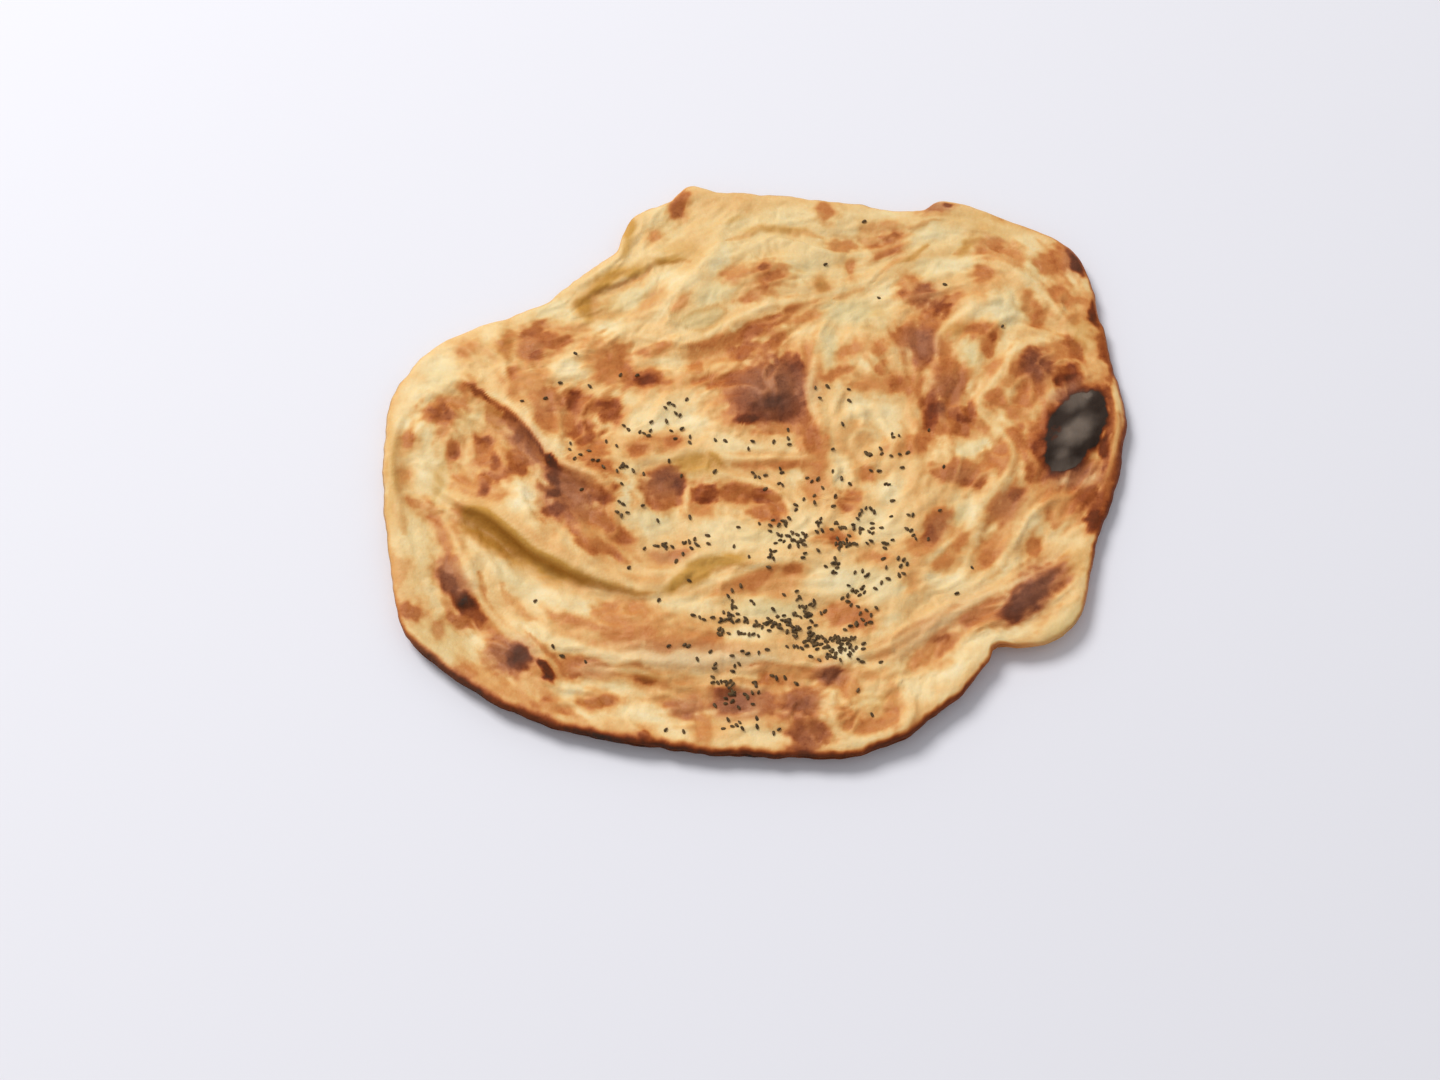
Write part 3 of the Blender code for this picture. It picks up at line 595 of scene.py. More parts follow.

# %% [markdown]
# ## Oily, pale and ashy places, with painted shade and sheen
#
# Deep in the pocket and between the loose layers of the far left corner, the dough never touched the
# pan. It stays smooth, soaked with butter, and ochre instead of cream, and there the ochre is darkened
# as painted shade, as it is in the hollow at the foot of each fold. Other stretches stayed raw and pale,
# a little green; two broad greenish ovals grey the left side as painted shade, and two pale ovals are a
# painted highlight along the crest of the seed step. And where a blister burnt dry, its brown has turned
# to a greyish mauve; on the big charred blister the grey lens and the light marks above it are a
# painted sheen.

# %% The oily, pale and ashy ovals, some of them painted shade, highlight and sheen
# (x, y, half length, half width in mm, turn in degrees, strength)
# In the pocket under its lip and in the far left corner, this ochre is painted shade as well as
# butter-soaked dough.
OILY_AND_SHADED = [
    (-131, -37, 9, 11, -20, 1.6), (-121, -44, 13, 11, -42, 1.6), (-110, -53, 16, 9, -42, 1.4),
    (-97, -61, 15, 8, -36, 1.4), (-84, -67, 13, 4.5, -26, 1.1), (-71, -71, 12, 2.5, -16, 0.9),
    (-58, -75, 12, 2, -12, 0.7), (-38, -71, 9, 3.5, 42, 1.1), (-27, -64, 14, 6, 34, 1.2),
    (-15, -59, 14, 5, 6, 1.1), (-29, -9, 13, 7, 0, 0.9), (-20, -5, 6, 2.2, -45, 1.2),
    (-76, 92, 12, 5, 40, 1.0), (-70, 98, 10, 5, 25, 1.1), (-61, 100, 9, 3.5, 32, 1.0),
    (-85, 80, 6, 8, 0, 1.1), (-82, 74, 4, 5, 0, 0.8), (-64, 115, 3, 9, -20, 0.8),
    (-63, 127, 2.5, 10, 0, 1.2), (-45, 107, 13, 3, 5, 0.9), (-10, 131, 5, 2, 20, 0.6),
    (-36, 112, 12, 7, 0, 0.35), (114, 129, 20, 7, -5, 0.35), (80, 111, 12, 2, 35, 0.7),
    (105, 115, 9, 2.5, 45, 0.7), (10, 125, 20, 3, 0, 0.6), (-27, 73, 13, 7, 8, 0.3),
    (-173, -14, 3, 34, 3, 0.5), (-126, 17, 8, 4, -60, 0.4), (-122, 56, 4, 9, 0, 0.4),
    (148, -58, 8, 12, 0, 0.3), (140, -92, 14, 5, 40, 0.3), (-151, -18, 3, 14, 0, 0.35),
    (-75, 78, 14, 6, 0, 0.35), (98, 66, 8, 4, 0, 0.4), (160, 64, 8, 12, 0, 0.35), (33, 92, 3, 4, 0, 0.5),
    (52, -130, 8, 6, 0, 0.4), (-74, -131, 9, 3, 0, 0.3), (-104, -50, 18, 3, -35, 0.35),
    (-50, -119, 7, 3, 0, 0.4), (60, 77, 4, 5, 0, 0.3),
]
PALE = [
    (96, -35, 6, 7, 0, 1.0), (104, 1, 14, 5, 28, 0.9), (117, 14, 8, 5, 60, 0.8), (112, -45, 9, 4, 25, 0.7),
    (137, -44, 12, 4, 25, 0.7), (-153, 41, 9, 10, 0, 0.9), (-163, 30, 8, 10, 0, 0.8),
    (64, 14, 8, 8, 0, 0.7), (-128, -98, 16, 8, -35, 0.7), (-104, -108, 8, 5, -30, 0.6),
    (52, -130, 8, 6, 0, 0.9), (-70, 60, 10, 4, 0, 0.6), (-168, 16, 6, 12, 0, 0.9), (-160, 8, 8, 12, 0, 0.9),
    (-155, 48, 11, 8, 35, 0.9), (-140, 18, 6, 6, 0, 0.9), (-138, 10, 5, 7, 0, 0.6), (-91, 43, 9, 6, 0, 1.0),
    (-86, 38, 5, 5, 0, 0.8), (-100, 78, 16, 6, 20, 0.8), (-72, 69, 9, 7, 30, 1.0),
    (-128, 64, 9, 5, 30, 0.6), (-94, 5, 5, 9, 40, 0.9), (-75, 12, 8, 5, 0, 0.8), (-42, 16, 23, 11, 0, 1.0),
    (-62, 27, 8, 5, 0, 0.8), (-42, 47, 11, 4, 0, 0.6), (-57, 52, 6, 8, 0, 0.4), (18, 66, 11, 5, 5, 0.8),
    (-60, 84, 16, 6, 18, 0.9), (-42, 95, 16, 6, 15, 0.9), (-22, 86, 14, 8, 20, 0.9),
    (-18, 108, 8, 12, -15, 1.0), (-27, 73, 10, 5, 10, 1.0), (-48, 136, 9, 8, 30, 0.6),
    (20, 102, 12, 10, 0, 0.8), (24, 132, 20, 8, 0, 0.5), (46, 76, 14, 7, 0, 1.0), (36, 56, 6, 14, 0, 0.9),
    (54, 48, 9, 5, 0, 0.8), (50, 22, 8, 9, 0, 1.0), (62, 20, 10, 8, 0, 0.7), (60, 134, 14, 6, 0, 0.6),
    (88, 122, 16, 9, 10, 0.8), (96, 103, 16, 6, 10, 0.9), (84, 101, 8, 8, 30, 0.7),
    (138, 116, 12, 8, -20, 0.7), (137, 100, 7, 10, 0, 0.8), (124, 78, 12, 14, 0, 1.0),
    (110, 76, 9, 7, 0, 0.7), (105, 52, 6, 9, 0, 1.0), (126, 56, 6, 10, 20, 0.7), (106, 30, 5, 9, 15, 0.9),
    (116, 14, 6, 8, -20, 0.9), (106, 0, 12, 6, 25, 1.0), (66, 88, 14, 6, 25, 0.7), (62, 30, 8, 4, 0, 0.6),
    (140, 88, 5, 8, 20, 0.6), (160, 94, 6, 5, 0, 0.4), (-112, -28, 10, 10, 0, 1.0),
    (-104, -14, 4, 8, 10, 0.6), (-108, -40, 9, 4, -30, 0.7), (-158, -10, 10, 14, 0, 0.8),
    (-160, -50, 7, 12, 20, 0.6), (-150, -78, 6, 14, 25, 0.7), (-134, -48, 6, 6, 0, 0.8),
    (-112, -66, 18, 9, -38, 1.0), (-98, -80, 20, 8, -20, 1.0), (-80, -84, 12, 6, -10, 0.9),
    (-128, -104, 9, 8, -30, 0.8), (-102, -96, 12, 5, -35, 0.8), (-88, -102, 12, 4, -18, 0.9),
    (-84, -123, 7, 6, 0, 0.8), (-64, -124, 7, 4, 0, 0.9), (-52, -136, 16, 6, 0, 1.0),
    (-78, -138, 10, 3, -10, 0.7), (-62, -22, 7, 12, 0, 1.0), (-50, -40, 14, 8, 0, 1.0),
    (-20, -42, 16, 7, 0, 0.9), (2, -48, 16, 8, 0, 1.0), (18, -14, 5, 9, 0, 0.9), (40, -12, 5, 11, 0, 0.9),
    (-6, -2, 18, 4, 0, 0.8), (-30, -16, 8, 3, 0, 0.6), (36, -70, 16, 8, 5, 1.0), (4, -85, 18, 6, 0, 1.0),
    # On this line, (-6, -97) and (40, -106) are a painted highlight along the crest of the seed step.
    (-32, -82, 16, 5, -5, 0.9), (-6, -97, 15, 4, 0, 1.0), (40, -106, 10, 4, 8, 1.0),
    (58, -72, 12, 7, 0, 0.9), (56, -42, 14, 12, 0, 0.8), (62, -22, 9, 9, 30, 0.9), (22, -44, 14, 8, 0, 0.8),
    (100, -35, 7, 9, 0, 1.0), (88, -68, 10, 8, 0, 1.0), (126, -42, 5, 11, -35, 0.8),
    (102, -48, 4, 8, -35, 0.8), (148, -50, 12, 5, 0, 0.6), (116, -62, 8, 4, 30, 0.6),
    (142, -91, 17, 6, 38, 0.9), (112, -98, 20, 5, 15, 0.8), (60, -92, 8, 4, 40, 0.7),
    (84, -116, 16, 6, 38, 0.9), (70, -124, 12, 7, 0, 0.8), (32, -130, 4, 9, 0, 0.7),
    (2, -148, 14, 5, 0, 0.6), (-36, -143, 8, 5, 0, 0.6), (56, -149, 14, 4, 8, 0.6),
    (66, -112, 10, 4, 30, 0.6), (-70, -36, 3, 5, 0, 0.6),
]
GREENISH = [
    (96, -35, 6, 7, 0, 0.6), (104, 1, 13, 4, 28, 0.5), (-154, 40, 10, 9, 0, 0.5), (-140, 17, 7, 7, 0, 0.6),
    (20, 118, 100, 36, 0, 0.35), (-80, 86, 40, 20, 25, 0.4), (-150, -20, 30, 80, 0, 0.2),
    (48, 77, 18, 9, 0, 1.0), (-28, 73, 14, 7, 8, 1.0), (-22, 86, 14, 8, 20, 0.8), (4, -84, 18, 5, 0, 0.9),
    (142, -91, 15, 5, 38, 0.9), (22, 103, 14, 8, 0, 0.6), (-62, 84, 16, 6, 18, 0.7),
    (-18, 108, 7, 10, -15, 0.5), (96, 104, 14, 5, 10, 0.5), (105, 52, 5, 9, 0, 0.8),
    (36, 58, 5, 14, 0, 0.7), (58, 68, 10, 4, 0, 0.7), (124, 78, 9, 12, 0, 0.5), (84, 101, 8, 8, 30, 0.5),
    (-8, 128, 12, 5, 15, 0.5), (-44, 128, 12, 12, 0, 0.5), (138, 102, 6, 9, 0, 0.5),
    # On this line, (-146, -100) and (-158, -50) grey the left side as painted shade.
    (-151, -18, 4, 14, 0, 0.9), (-146, -100, 20, 12, -38, 0.6), (-158, -50, 14, 30, 10, 0.4),
    (112, 118, 24, 6, 20, 0.5), (50, -70, 20, 8, 0, 0.4), (-112, -70, 16, 6, -38, 0.4),
    (-100, 78, 14, 6, 20, 0.5), (4, -46, 16, 8, 0, 0.4), (-48, -38, 12, 7, 0, 0.4),
    (86, 124, 16, 8, 10, 0.5),
]
ASHY_AND_SHEEN = [
    (8, 32, 20, 18, 30, 1.0), (80, 58, 10, 11, 0, 0.8), (127, -76, 22, 10, 44, 1.0),
    (137, 47, 9, 11, 0, 0.6), (-113, -107, 12, 10, 0, 0.9), (-90, -24, 18, 14, -50, 0.7),
    # On the big charred blister, the grey lens, the band and light dot above it, and the arc at (149, 31)
    # on the next line are a painted sheen.
    (154, 10, 12, 6, 48, 1.4), (155, 27, 9, 5, 28, 0.9), (160, 29, 3, 2.5, 0, 1.6),
    (145, -4, 5, 4, 60, 0.7), (151, -9, 8, 3, 15, 0.45), (149, 31, 12, 4, 38, 0.8), (90, 20, 3, 7, 0, 0.7),
    (-44, -19, 10, 9, 0, 0.8), (-140, -68, 12, 7, -55, 0.8), (33, -117, 8, 6, 0, 0.8),
    (84, 86, 10, 8, 0, 0.5), (-8, -131, 16, 8, 0, 0.8), (91, 139, 12, 4, 0, 0.7),
    (-110, 4, 16, 8, -52, 0.7), (19, -131, 11, 8, 0, 0.6), (119, -29, 12, 7, 48, 0.5),
    (85, -43, 11, 6, 60, 0.5), (151, -14, 15, 8, 0, 0.7), (-33, -134, 10, 6, 0, 0.6),
    (22, -147, 10, 10, 0, 0.4), (-110, 56, 6, 8, 0, 0.4), (-100, 24, 10, 8, 0, 0.3),
    (-40, -57, 10, 4, 0, 0.5), (-30, -108, 42, 8, -3, 0.5), (85, -92, 34, 8, 32, 0.4),
    (-140, -119, 26, 6, -38, 0.3), (96, -14, 12, 6, 0, 0.4), (93, 34, 10, 8, 0, 0.5),
    (-76, -114, 12, 6, 0, 0.5), (158, 108, 6, 12, 0, 0.6),
]

# %% Painting on places
EYE = (-0.018, -0.53, 0.975)       # where the marks were drawn from, in metres
MIDDLE_HEIGHT = 12 * MM            # a mark at this height lies just where it was drawn
COVER_CORE, COVER_EDGE = 0.3, 1.4  # a cover is full out to the core of its oval, and gone at the edge
LINE_CORE, LINE_EDGE = 0.3, 1.5


def oval(x, y, spot, reach):
    """The places near an oval spot, and how far out each lies: 1 on the oval itself."""
    cx, cy, half_length, half_width, turn = spot[:5]
    at = within(x, y, np.array([[cx, cy]]) * MM, reach * max(half_length, half_width) * MM)
    c, s = math.cos(math.radians(turn)), math.sin(math.radians(turn))
    dx, dy = x[at] - cx * MM, y[at] - cy * MM
    return at, np.hypot((c * dx + s * dy) / (half_length * MM), (c * dy - s * dx) / (half_width * MM))


def dab(values, x, y, spots, ragged, core, edge, strength=1.0):
    """Paint ovals one over another: each pulls the values to its own, full up to core, gone at edge."""
    for spot in spots:
        at, reach = oval(x, y, spot, edge + 0.5)
        amount = strength * (1 - smooth_step(reach + ragged[at], core, edge))
        values[at] += amount * (spot[5] - values[at])


def cover(x, y, spots):
    """How strongly the ovals cover each place, 0 to 1."""
    total = np.zeros(x.shape)
    for spot in spots:
        at, reach = oval(x, y, spot, COVER_EDGE)
        fade = 1 - smooth_step(reach, COVER_CORE, COVER_EDGE)
        total[at] = np.maximum(total[at], spot[5] * fade)
    return total


def draw(values, x, y, lines, ragged, strength):
    """Paint lines that thin out towards their ends."""
    for half_width, value, points in lines:
        path = smooth_curve(points, closed=False)
        at = within(x, y, path, 3 * half_width * MM)
        side, along, _ = path_frame(x[at], y[at], path)
        taper = 0.25 + np.clip(np.sin(math.pi * along), 0, 1) ** 0.6
        reach = np.abs(side) / (half_width * MM * taper)
        amount = strength * (1 - smooth_step(reach + ragged[at], LINE_CORE, LINE_EDGE))
        values[at] += amount * (value - values[at])


def seen(x, y, z):
    """Where a place seems to lie from the front, drawn on a flat bread."""
    lean = (z - MIDDLE_HEIGHT) / (EYE[2] - z)
    return x + lean * (x - EYE[0]), y + lean * (y - EYE[1])


def wander(x, y, reach, size, seed):
    """Move places about a little, which bends whatever is drawn on them."""
    u, v = x / (size * MM), y / (size * MM)
    return x + reach * MM * lumps(u, v, seed), y + reach * MM * lumps(u, v, seed + 1)


# %% [markdown]
# ## Heights
#
# The top is the sum of everything above: an even sheet, thick in the middle and thin at the rim, long
# waves, folds, a blister under each of the biggest marks, streaky wrinkles, and small cells of puffed
# dough.

# %% The top and the underside as functions
MIDDLE_THICKNESS, RIM_THICKNESS = 10.5 * MM, 6.0 * MM
RIM_ROLL, UNDER_ROLL = 6 * MM, 3 * MM
FLAT_REACH, THIN_REACH = 0.80, 0.62     # shares of the way out where the lift and the thinning start
WRINKLE_WIDTH = 0.18         # share of the noise's swing, about a millimetre each side
LAYER_GAP = 1.2 * MM         # half the thickness of the split between the two layers at the rim
FLAKE_STEP, STREAK_HEIGHT, PUFF_HEIGHT, WRINKLE_HEIGHT = 0.55 * MM, 0.25 * MM, 0.5 * MM, 0.9 * MM
CALM_RIM = 0.12              # share of the way in over which waves and laps grow to their full size
RIM_WAVES = 0.35             # share of the waves that is left at the rim
# (wavelength in mm, height in mm, heading in degrees)
WAVES = [(118, 1.1, 24), (83, 0.9, 118), (61, 0.7, 71), (47, 0.5, 160)]
# (x, y, half length, half width in mm, turn in degrees, height in mm)
BLISTERS = [
    (153, 7, 22, 13, 52, 4.0), (8, 32, 20, 14, 25, 3.0), (-152, 14, 16, 10, 10, 2.5),
    (20, -134, 26, 11, 3, 3.5), (-108, -108, 18, 10, -28, 2.5), (8, 98, 20, 10, 28, 2.5),
    (136, 48, 16, 11, 15, 2.5), (122, -78, 22, 9, 36, 3.0),
]


def split_height(angle):
    """The middle of the rim, where its two layers part."""
    return rim_lift(angle) + RIM_THICKNESS / 2 + 0.9 * MM * around(angle, 8, 162)


def layer_gap(angle):
    """Half the gap between the layers: open in some places, almost closed in others."""
    return LAYER_GAP * (0.3 + 1.2 * smooth_step(around(angle, 10, 163), -0.3, 0.7))


def under_height(share, angle):
    """The underside: flat, then lifting off the surface towards the rim."""
    return rim_lift(angle) * smooth_step(share, FLAT_REACH, 1.0) ** 1.3


def long_relief(x, y):
    """The waves of the whole sheet, and the big blisters."""
    total = np.zeros(x.shape)
    for wavelength, height, heading in WAVES:
        c, s = math.cos(math.radians(heading)), math.sin(math.radians(heading))
        total = total + height * MM * np.sin(2 * math.pi * (c * x + s * y) / (wavelength * MM))
    for cx, cy, half_length, half_width, turn, height in BLISTERS:
        c, s = math.cos(math.radians(turn)), math.sin(math.radians(turn))
        dx, dy = x - cx * MM, y - cy * MM
        reach = ((c * dx + s * dy) / (half_length * MM)) ** 2 + ((c * dy - s * dx) / (half_width * MM)) ** 2
        total = total + height * MM * np.exp(-reach ** 1.5)
    return total


def fine_relief(x, y, heading):
    """Thin layers that end in steps along the grain, puffed cells, and wrinkles that pinch the layers."""
    wide = streaks(x, y, heading, 34, 9, 11)
    narrow = streaks(x, y, heading, 20, 4.5, 31)
    layer = 2.2 * wide + 0.5 * narrow
    flakes = np.floor(layer) + smooth_step(layer - np.floor(layer), 0.35, 1.0)
    u, v = wander(x, y, 4, 15, 51)
    first, second = cells(u / (9 * MM), v / (9 * MM), 61)
    puffs = smooth_step(second - first, 0.0, 0.5)
    wrinkles = np.exp(-(streaks(x, y, heading, 30, 11, 141) / WRINKLE_WIDTH) ** 2)
    wrinkles *= smooth_step(lumps(x / (26 * MM), y / (26 * MM), 142), -0.35, 0.35)
    relief = FLAKE_STEP * flakes + STREAK_HEIGHT * narrow + PUFF_HEIGHT * puffs + WRINKLE_HEIGHT * wrinkles
    return relief, wrinkles


def round_off(share, angle, roll):
    """Share of the height that is left near the rim, where it rolls off like a quarter of a circle."""
    inward = np.clip((1 - share) * rim_radius(angle) / roll, 0, 1)
    return np.sqrt(1 - (1 - inward) ** 2)


# %% [markdown]
# ## The mesh
#
# A flat grid is pulled to the outline: a square grid can be rounded into a disc without the pinched
# middle that a fan of triangles has. The same is done for the underside with a coarser grid, since it
# is nearly flat. Between the two rims the edge is extruded in and out again, which leaves a split
# between an upper and a lower layer, and the last ring is bridged to the underside.

# %% Grids pulled to the outline
TOP_CELLS, UNDER_CELLS = 286, 100


def square_to_disc(u, v):
    return u * np.sqrt(1 - v * v / 2), v * np.sqrt(1 - u * u / 2)


def add_grid(bm, cells_along):
    made = bmesh.ops.create_grid(bm, x_segments=cells_along, y_segments=cells_along, size=1.0)
    verts = made["verts"]
    square = np.array([vert.co[:2] for vert in verts])
    disc_x, disc_y = square_to_disc(square[:, 0], square[:, 1])
    angle = np.arctan2(disc_y, disc_x)
    radius = np.hypot(disc_x, disc_y) * rim_radius(angle)
    faces = list({face for vert in verts for face in vert.link_faces})
    return verts, faces, radius * np.cos(angle), radius * np.sin(angle)


def open_edges(faces):
    return [edge for face in faces for edge in face.edges if edge.is_boundary]


def place(verts, x, y, z):
    for vert, spot in zip(verts, np.column_stack([x, y, z])):
        vert.co = spot


# %% Colour values carried by the mesh
# The crest values are the tone and strength of the painted highlight along the crests.
PLAIN_TONE, PALE_TONE, CREST_HIGHLIGHT_TONE = 0.26, 0.04, 0.15
PALING, CREST_HIGHLIGHT_STRENGTH = 0.85, 0.75
BROAD_STRENGTH, WASH_STRENGTH, HALO_STRENGTH, LINE_STRENGTH = 0.6, 0.65, 0.6, 0.85
HALO = 2.5                   # mm of lighter brown round each scorch mark
HALO_TONE = (0.30, 0.30)     # the tone of a halo, and what it takes of its mark's own
WRINKLE_HIGHLIGHT = 0.4          # how far a wrinkle counts as a crest
HIGHEST_TONE = 1.15


def paint(verts, layer, values):
    for vert, value in zip(verts, values):
        vert[layer] = value


def top_colours(x, y, z, heading, hollow, crest, behind):
    """Four colour values of the top at each place, 0 to about 1: the tone, the greenish dough, the
    butter-soaked ochre and the greyish mauve, with painted shade in the first three, painted highlights in
    the tone and a painted sheen in the last.
    """
    u, v = seen(x, y, z)
    smooth_u, smooth_v = wander(u, v, 1.0, 14, 85)
    u, v = wander(u, v, 1.8, 12, 81)
    u, v = wander(u, v, 1.0, 4.5, 83)
    torn = streaks(x, y, heading, 16, 3.5, 91)
    ragged = 0.27 * torn + 0.16 * lumps(x / (3 * MM), y / (3 * MM), 99)
    pale = cover(u, v, PALE)
    raw_and_shade = cover(u, v, GREENISH)
    wide = streaks(x, y, heading, 46, 9, 101)
    narrow = streaks(x, y, heading, 26, 4, 121)
    tone = PLAIN_TONE + 0.10 * wide + 0.08 * narrow
    dab(tone, u, v, BROAD_WASHES, ragged, 0.2, 1.3, BROAD_STRENGTH)
    tone += PALING * np.maximum(pale, 0.5 * raw_and_shade) * (PALE_TONE + 0.03 * narrow - tone)
    dab(tone, u, v, WASHES, 1.8 * ragged, 0.2, 1.2, WASH_STRENGTH)
    for marks in SCORCH_AND_SHADE.values():
        halos = [(cx, cy, half_length + HALO, half_width + HALO, turn, HALO_TONE[0] + HALO_TONE[1] * value)
                 for cx, cy, half_length, half_width, turn, value in marks]
        dab(tone, u, v, halos, 1.4 * ragged, 0.5, 1.4, HALO_STRENGTH)
        dab(tone, u, v, marks, ragged, 0.65, 1.2)
    dab(tone, smooth_u, smooth_v, CHAR, 0.35 * ragged, 0.75, 1.15)
    draw(tone, u, v, STROKES, 0.5 * ragged, LINE_STRENGTH)
    unburnt = 1 - smooth_step(tone, 0.7, 0.95)
    # Painted highlight: crests and wrinkles that are not burnt are painted paler.
    tone += CREST_HIGHLIGHT_STRENGTH * np.clip(crest, 0, 1) * unburnt * (CREST_HIGHLIGHT_TONE - tone)
    angle, share = polar(x, y)
    # Along the rim the tone goes over to the rim's own: burnt, and darkened further by painted shade along
    # its edge.
    inward = (1 - share) * rim_radius(angle) + 2 * MM * ragged
    burnt_and_shaded = 1 - smooth_step(inward / (by_heading(angle, RIM_BURNS_AND_SHADE, 2) * MM), 0.2, 1.0)
    tone += burnt_and_shaded * (rim_burn_and_shade(angle) - tone)
    # Oily ochre, darkened as painted shade in the pocket, and painted shade in the hollow at the foot of
    # each fold.
    oil_and_shade = np.maximum(cover(u, v, OILY_AND_SHADED) * (1 - np.clip(behind, 0, 1)), 0.15 * np.clip(hollow, 0, 1))
    return np.clip(tone, 0, HIGHEST_TONE), raw_and_shade, oil_and_shade, cover(u, v, ASHY_AND_SHEEN)


# %% The top
bm = bmesh.new()
toast_shade_and_highlight = bm.verts.layers.float.new("toast_shade_and_highlight")
oil_and_shade = bm.verts.layers.float.new("oil_and_shade")
raw_and_shade = bm.verts.layers.float.new("raw_and_shade")
ash_and_sheen = bm.verts.layers.float.new("ash_and_sheen")

verts, top_faces, x, y = add_grid(bm, TOP_CELLS)
angle, share = polar(x, y)
heading = grain_heading(x, y)
raised, slide_x, slide_y, hollow, crest, behind = fold_relief(x, y)
thickness = MIDDLE_THICKNESS + (RIM_THICKNESS - MIDDLE_THICKNESS) * smooth_step(share, THIN_REACH, 1.0)
calm = smooth_step(1 - share, 0, CALM_RIM)
top = under_height(share, angle) + thickness + raised
fine, wrinkles = fine_relief(x, y, heading)
top = top + (long_relief(x, y) + fine) * (RIM_WAVES + (1 - RIM_WAVES) * calm)
# Wrinkles join the crests that get a painted highlight.
crest = np.maximum(crest, WRINKLE_HIGHLIGHT * wrinkles)
edge = split_height(angle) + layer_gap(angle)
top = edge + (top - edge) * round_off(share, angle, RIM_ROLL)
x, y = x + slide_x * calm, y + slide_y * calm
place(verts, x, y, top)
for layer, values in zip((toast_shade_and_highlight, raw_and_shade, oil_and_shade, ash_and_sheen), top_colours(x, y, top, heading, hollow, crest, behind)):
    paint(verts, layer, values)
rim_edges = open_edges(top_faces)
print(f"top: {len(verts)} points, {top.max() / MM:.1f} mm high")

# %% The underside
UNDER_TONE, UNDER_BROWNING = 0.32, 0.4
verts, under_faces, x, y = add_grid(bm, UNDER_CELLS)
bmesh.ops.reverse_faces(bm, faces=under_faces)
angle, share = polar(x, y)
edge = split_height(angle) - layer_gap(angle)
under = edge + (under_height(share, angle) - edge) * round_off(share, angle, UNDER_ROLL)
place(verts, x, y, under)
u, v = wander(x, y, 5, 22, 151)
blotches = lumps(u / (34 * MM), v / (34 * MM), 153) + 0.6 * lumps(u / (17 * MM), v / (17 * MM), 154)
tone = UNDER_TONE + 0.08 * lumps(x / (60 * MM), y / (60 * MM), 155)
tone += UNDER_BROWNING * smooth_step(blotches, 0.0, 1.0)
paint(verts, toast_shade_and_highlight, tone + smooth_step(share, 0.9, 0.99) * (rim_burn_and_shade(angle) - tone))
under_edges = open_edges(under_faces)
print(f"underside: {len(verts)} points")

# %% The split at the rim
# (how far in from the rim, mm; share of the layer gap above or below the middle of the rim)
RIM_RINGS = [(1.0, 0.75), (2.6, 0.35), (2.8, -0.1), (1.2, -0.5)]
SHALLOWEST, DEEPEST = 0.2 * MM, 6 * MM
for inset, rise in RIM_RINGS:
    made = bmesh.ops.extrude_edge_only(bm, edges=rim_edges)["geom"]
    ring = [item for item in made if isinstance(item, bmesh.types.BMVert)]
    rim_edges = [item for item in made if isinstance(item, bmesh.types.BMEdge) and item.is_boundary]
    angle = np.array([math.atan2(vert.co.y, vert.co.x) for vert in ring])
    depth = inset * MM * (layer_gap(angle) / LAYER_GAP) * (1 + 0.5 * around(angle, 15, 161))
    radius = rim_radius(angle) - np.clip(depth, SHALLOWEST, DEEPEST)
    height = split_height(angle) + rise * layer_gap(angle)
    place(ring, radius * np.cos(angle), radius * np.sin(angle), height)
    paint(ring, toast_shade_and_highlight, rim_burn_and_shade(angle))
bmesh.ops.bridge_loops(bm, edges=rim_edges + under_edges)
bmesh.ops.recalc_face_normals(bm, faces=bm.faces)

mesh = bpy.data.meshes.new("malawach")
bm.to_mesh(mesh)
surface = BVHTree.FromBMesh(bm)
bm.free()
mesh.shade_smooth()
malawach = bpy.data.objects.new("malawach", mesh)
bpy.context.scene.collection.objects.link(malawach)
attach(malawach, "root")
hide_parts("bread")
print(f"malawach: {len(mesh.polygons)} faces")

# %% [markdown]
# ## The crust's colours
#
# One number, the tone, picks the colour: cream dough, gold, orange-brown, red-brown, black. The ramp
# holds those steps as they are on a real pan bread. The tone also carries painted shade in the pocket,
# the creases and along the rim, and painted highlights along the crests. Fine noise shifts the tone, so
# that no two places match, and oily places are tinted ochre, which in the pocket and the hollows is
# painted shade too. Greenish places include painted shade on the left side, and the greyish mauve ends
# in a lighter grey, the painted sheen on the big charred blister. Dough lets some light through, which
# is what subsurface scattering is for, and butter leaves a soft gloss everywhere but on the char.

# %% Node helpers
def linear(red, green, blue):
    """A colour as seen on a screen, 0 to 255, as the linear light that shaders work in."""
    parts = [c / 255 for c in (red, green, blue)]
    return [c / 12.92 if c <= 0.04045 else ((c + 0.055) / 1.055) ** 2.4 for c in parts] + [1.0]


def node(tree, kind, inputs=(), **settings):
    made = tree.nodes.new(kind)
    for name, value in settings.items():
        setattr(made, name, value)
    for name, value in dict(inputs).items():
        if isinstance(value, bpy.types.NodeSocket):
            tree.links.new(value, made.inputs[name])
        else:
            made.inputs[name].default_value = value
    return made


def math_node(tree, operation, first, second, clamp=False):
    inputs = {0: first, 1: second}
    return node(tree, "ShaderNodeMath", inputs, operation=operation, use_clamp=clamp).outputs[0]


def step_node(tree, value, start, end):
    made = node(tree, "ShaderNodeMapRange", {"Value": value, "From Min": start, "From Max": end})
    return made.outputs["Result"]


def ramp(tree, value, stops):
    made = node(tree, "ShaderNodeValToRGB", {"Fac": value})
    points = made.color_ramp.elements
    while len(points) < len(stops):
        points.new(0.5)
    for point, (position, color) in zip(points, stops):
        point.position = position
        point.color = color
    return made.outputs["Color"]


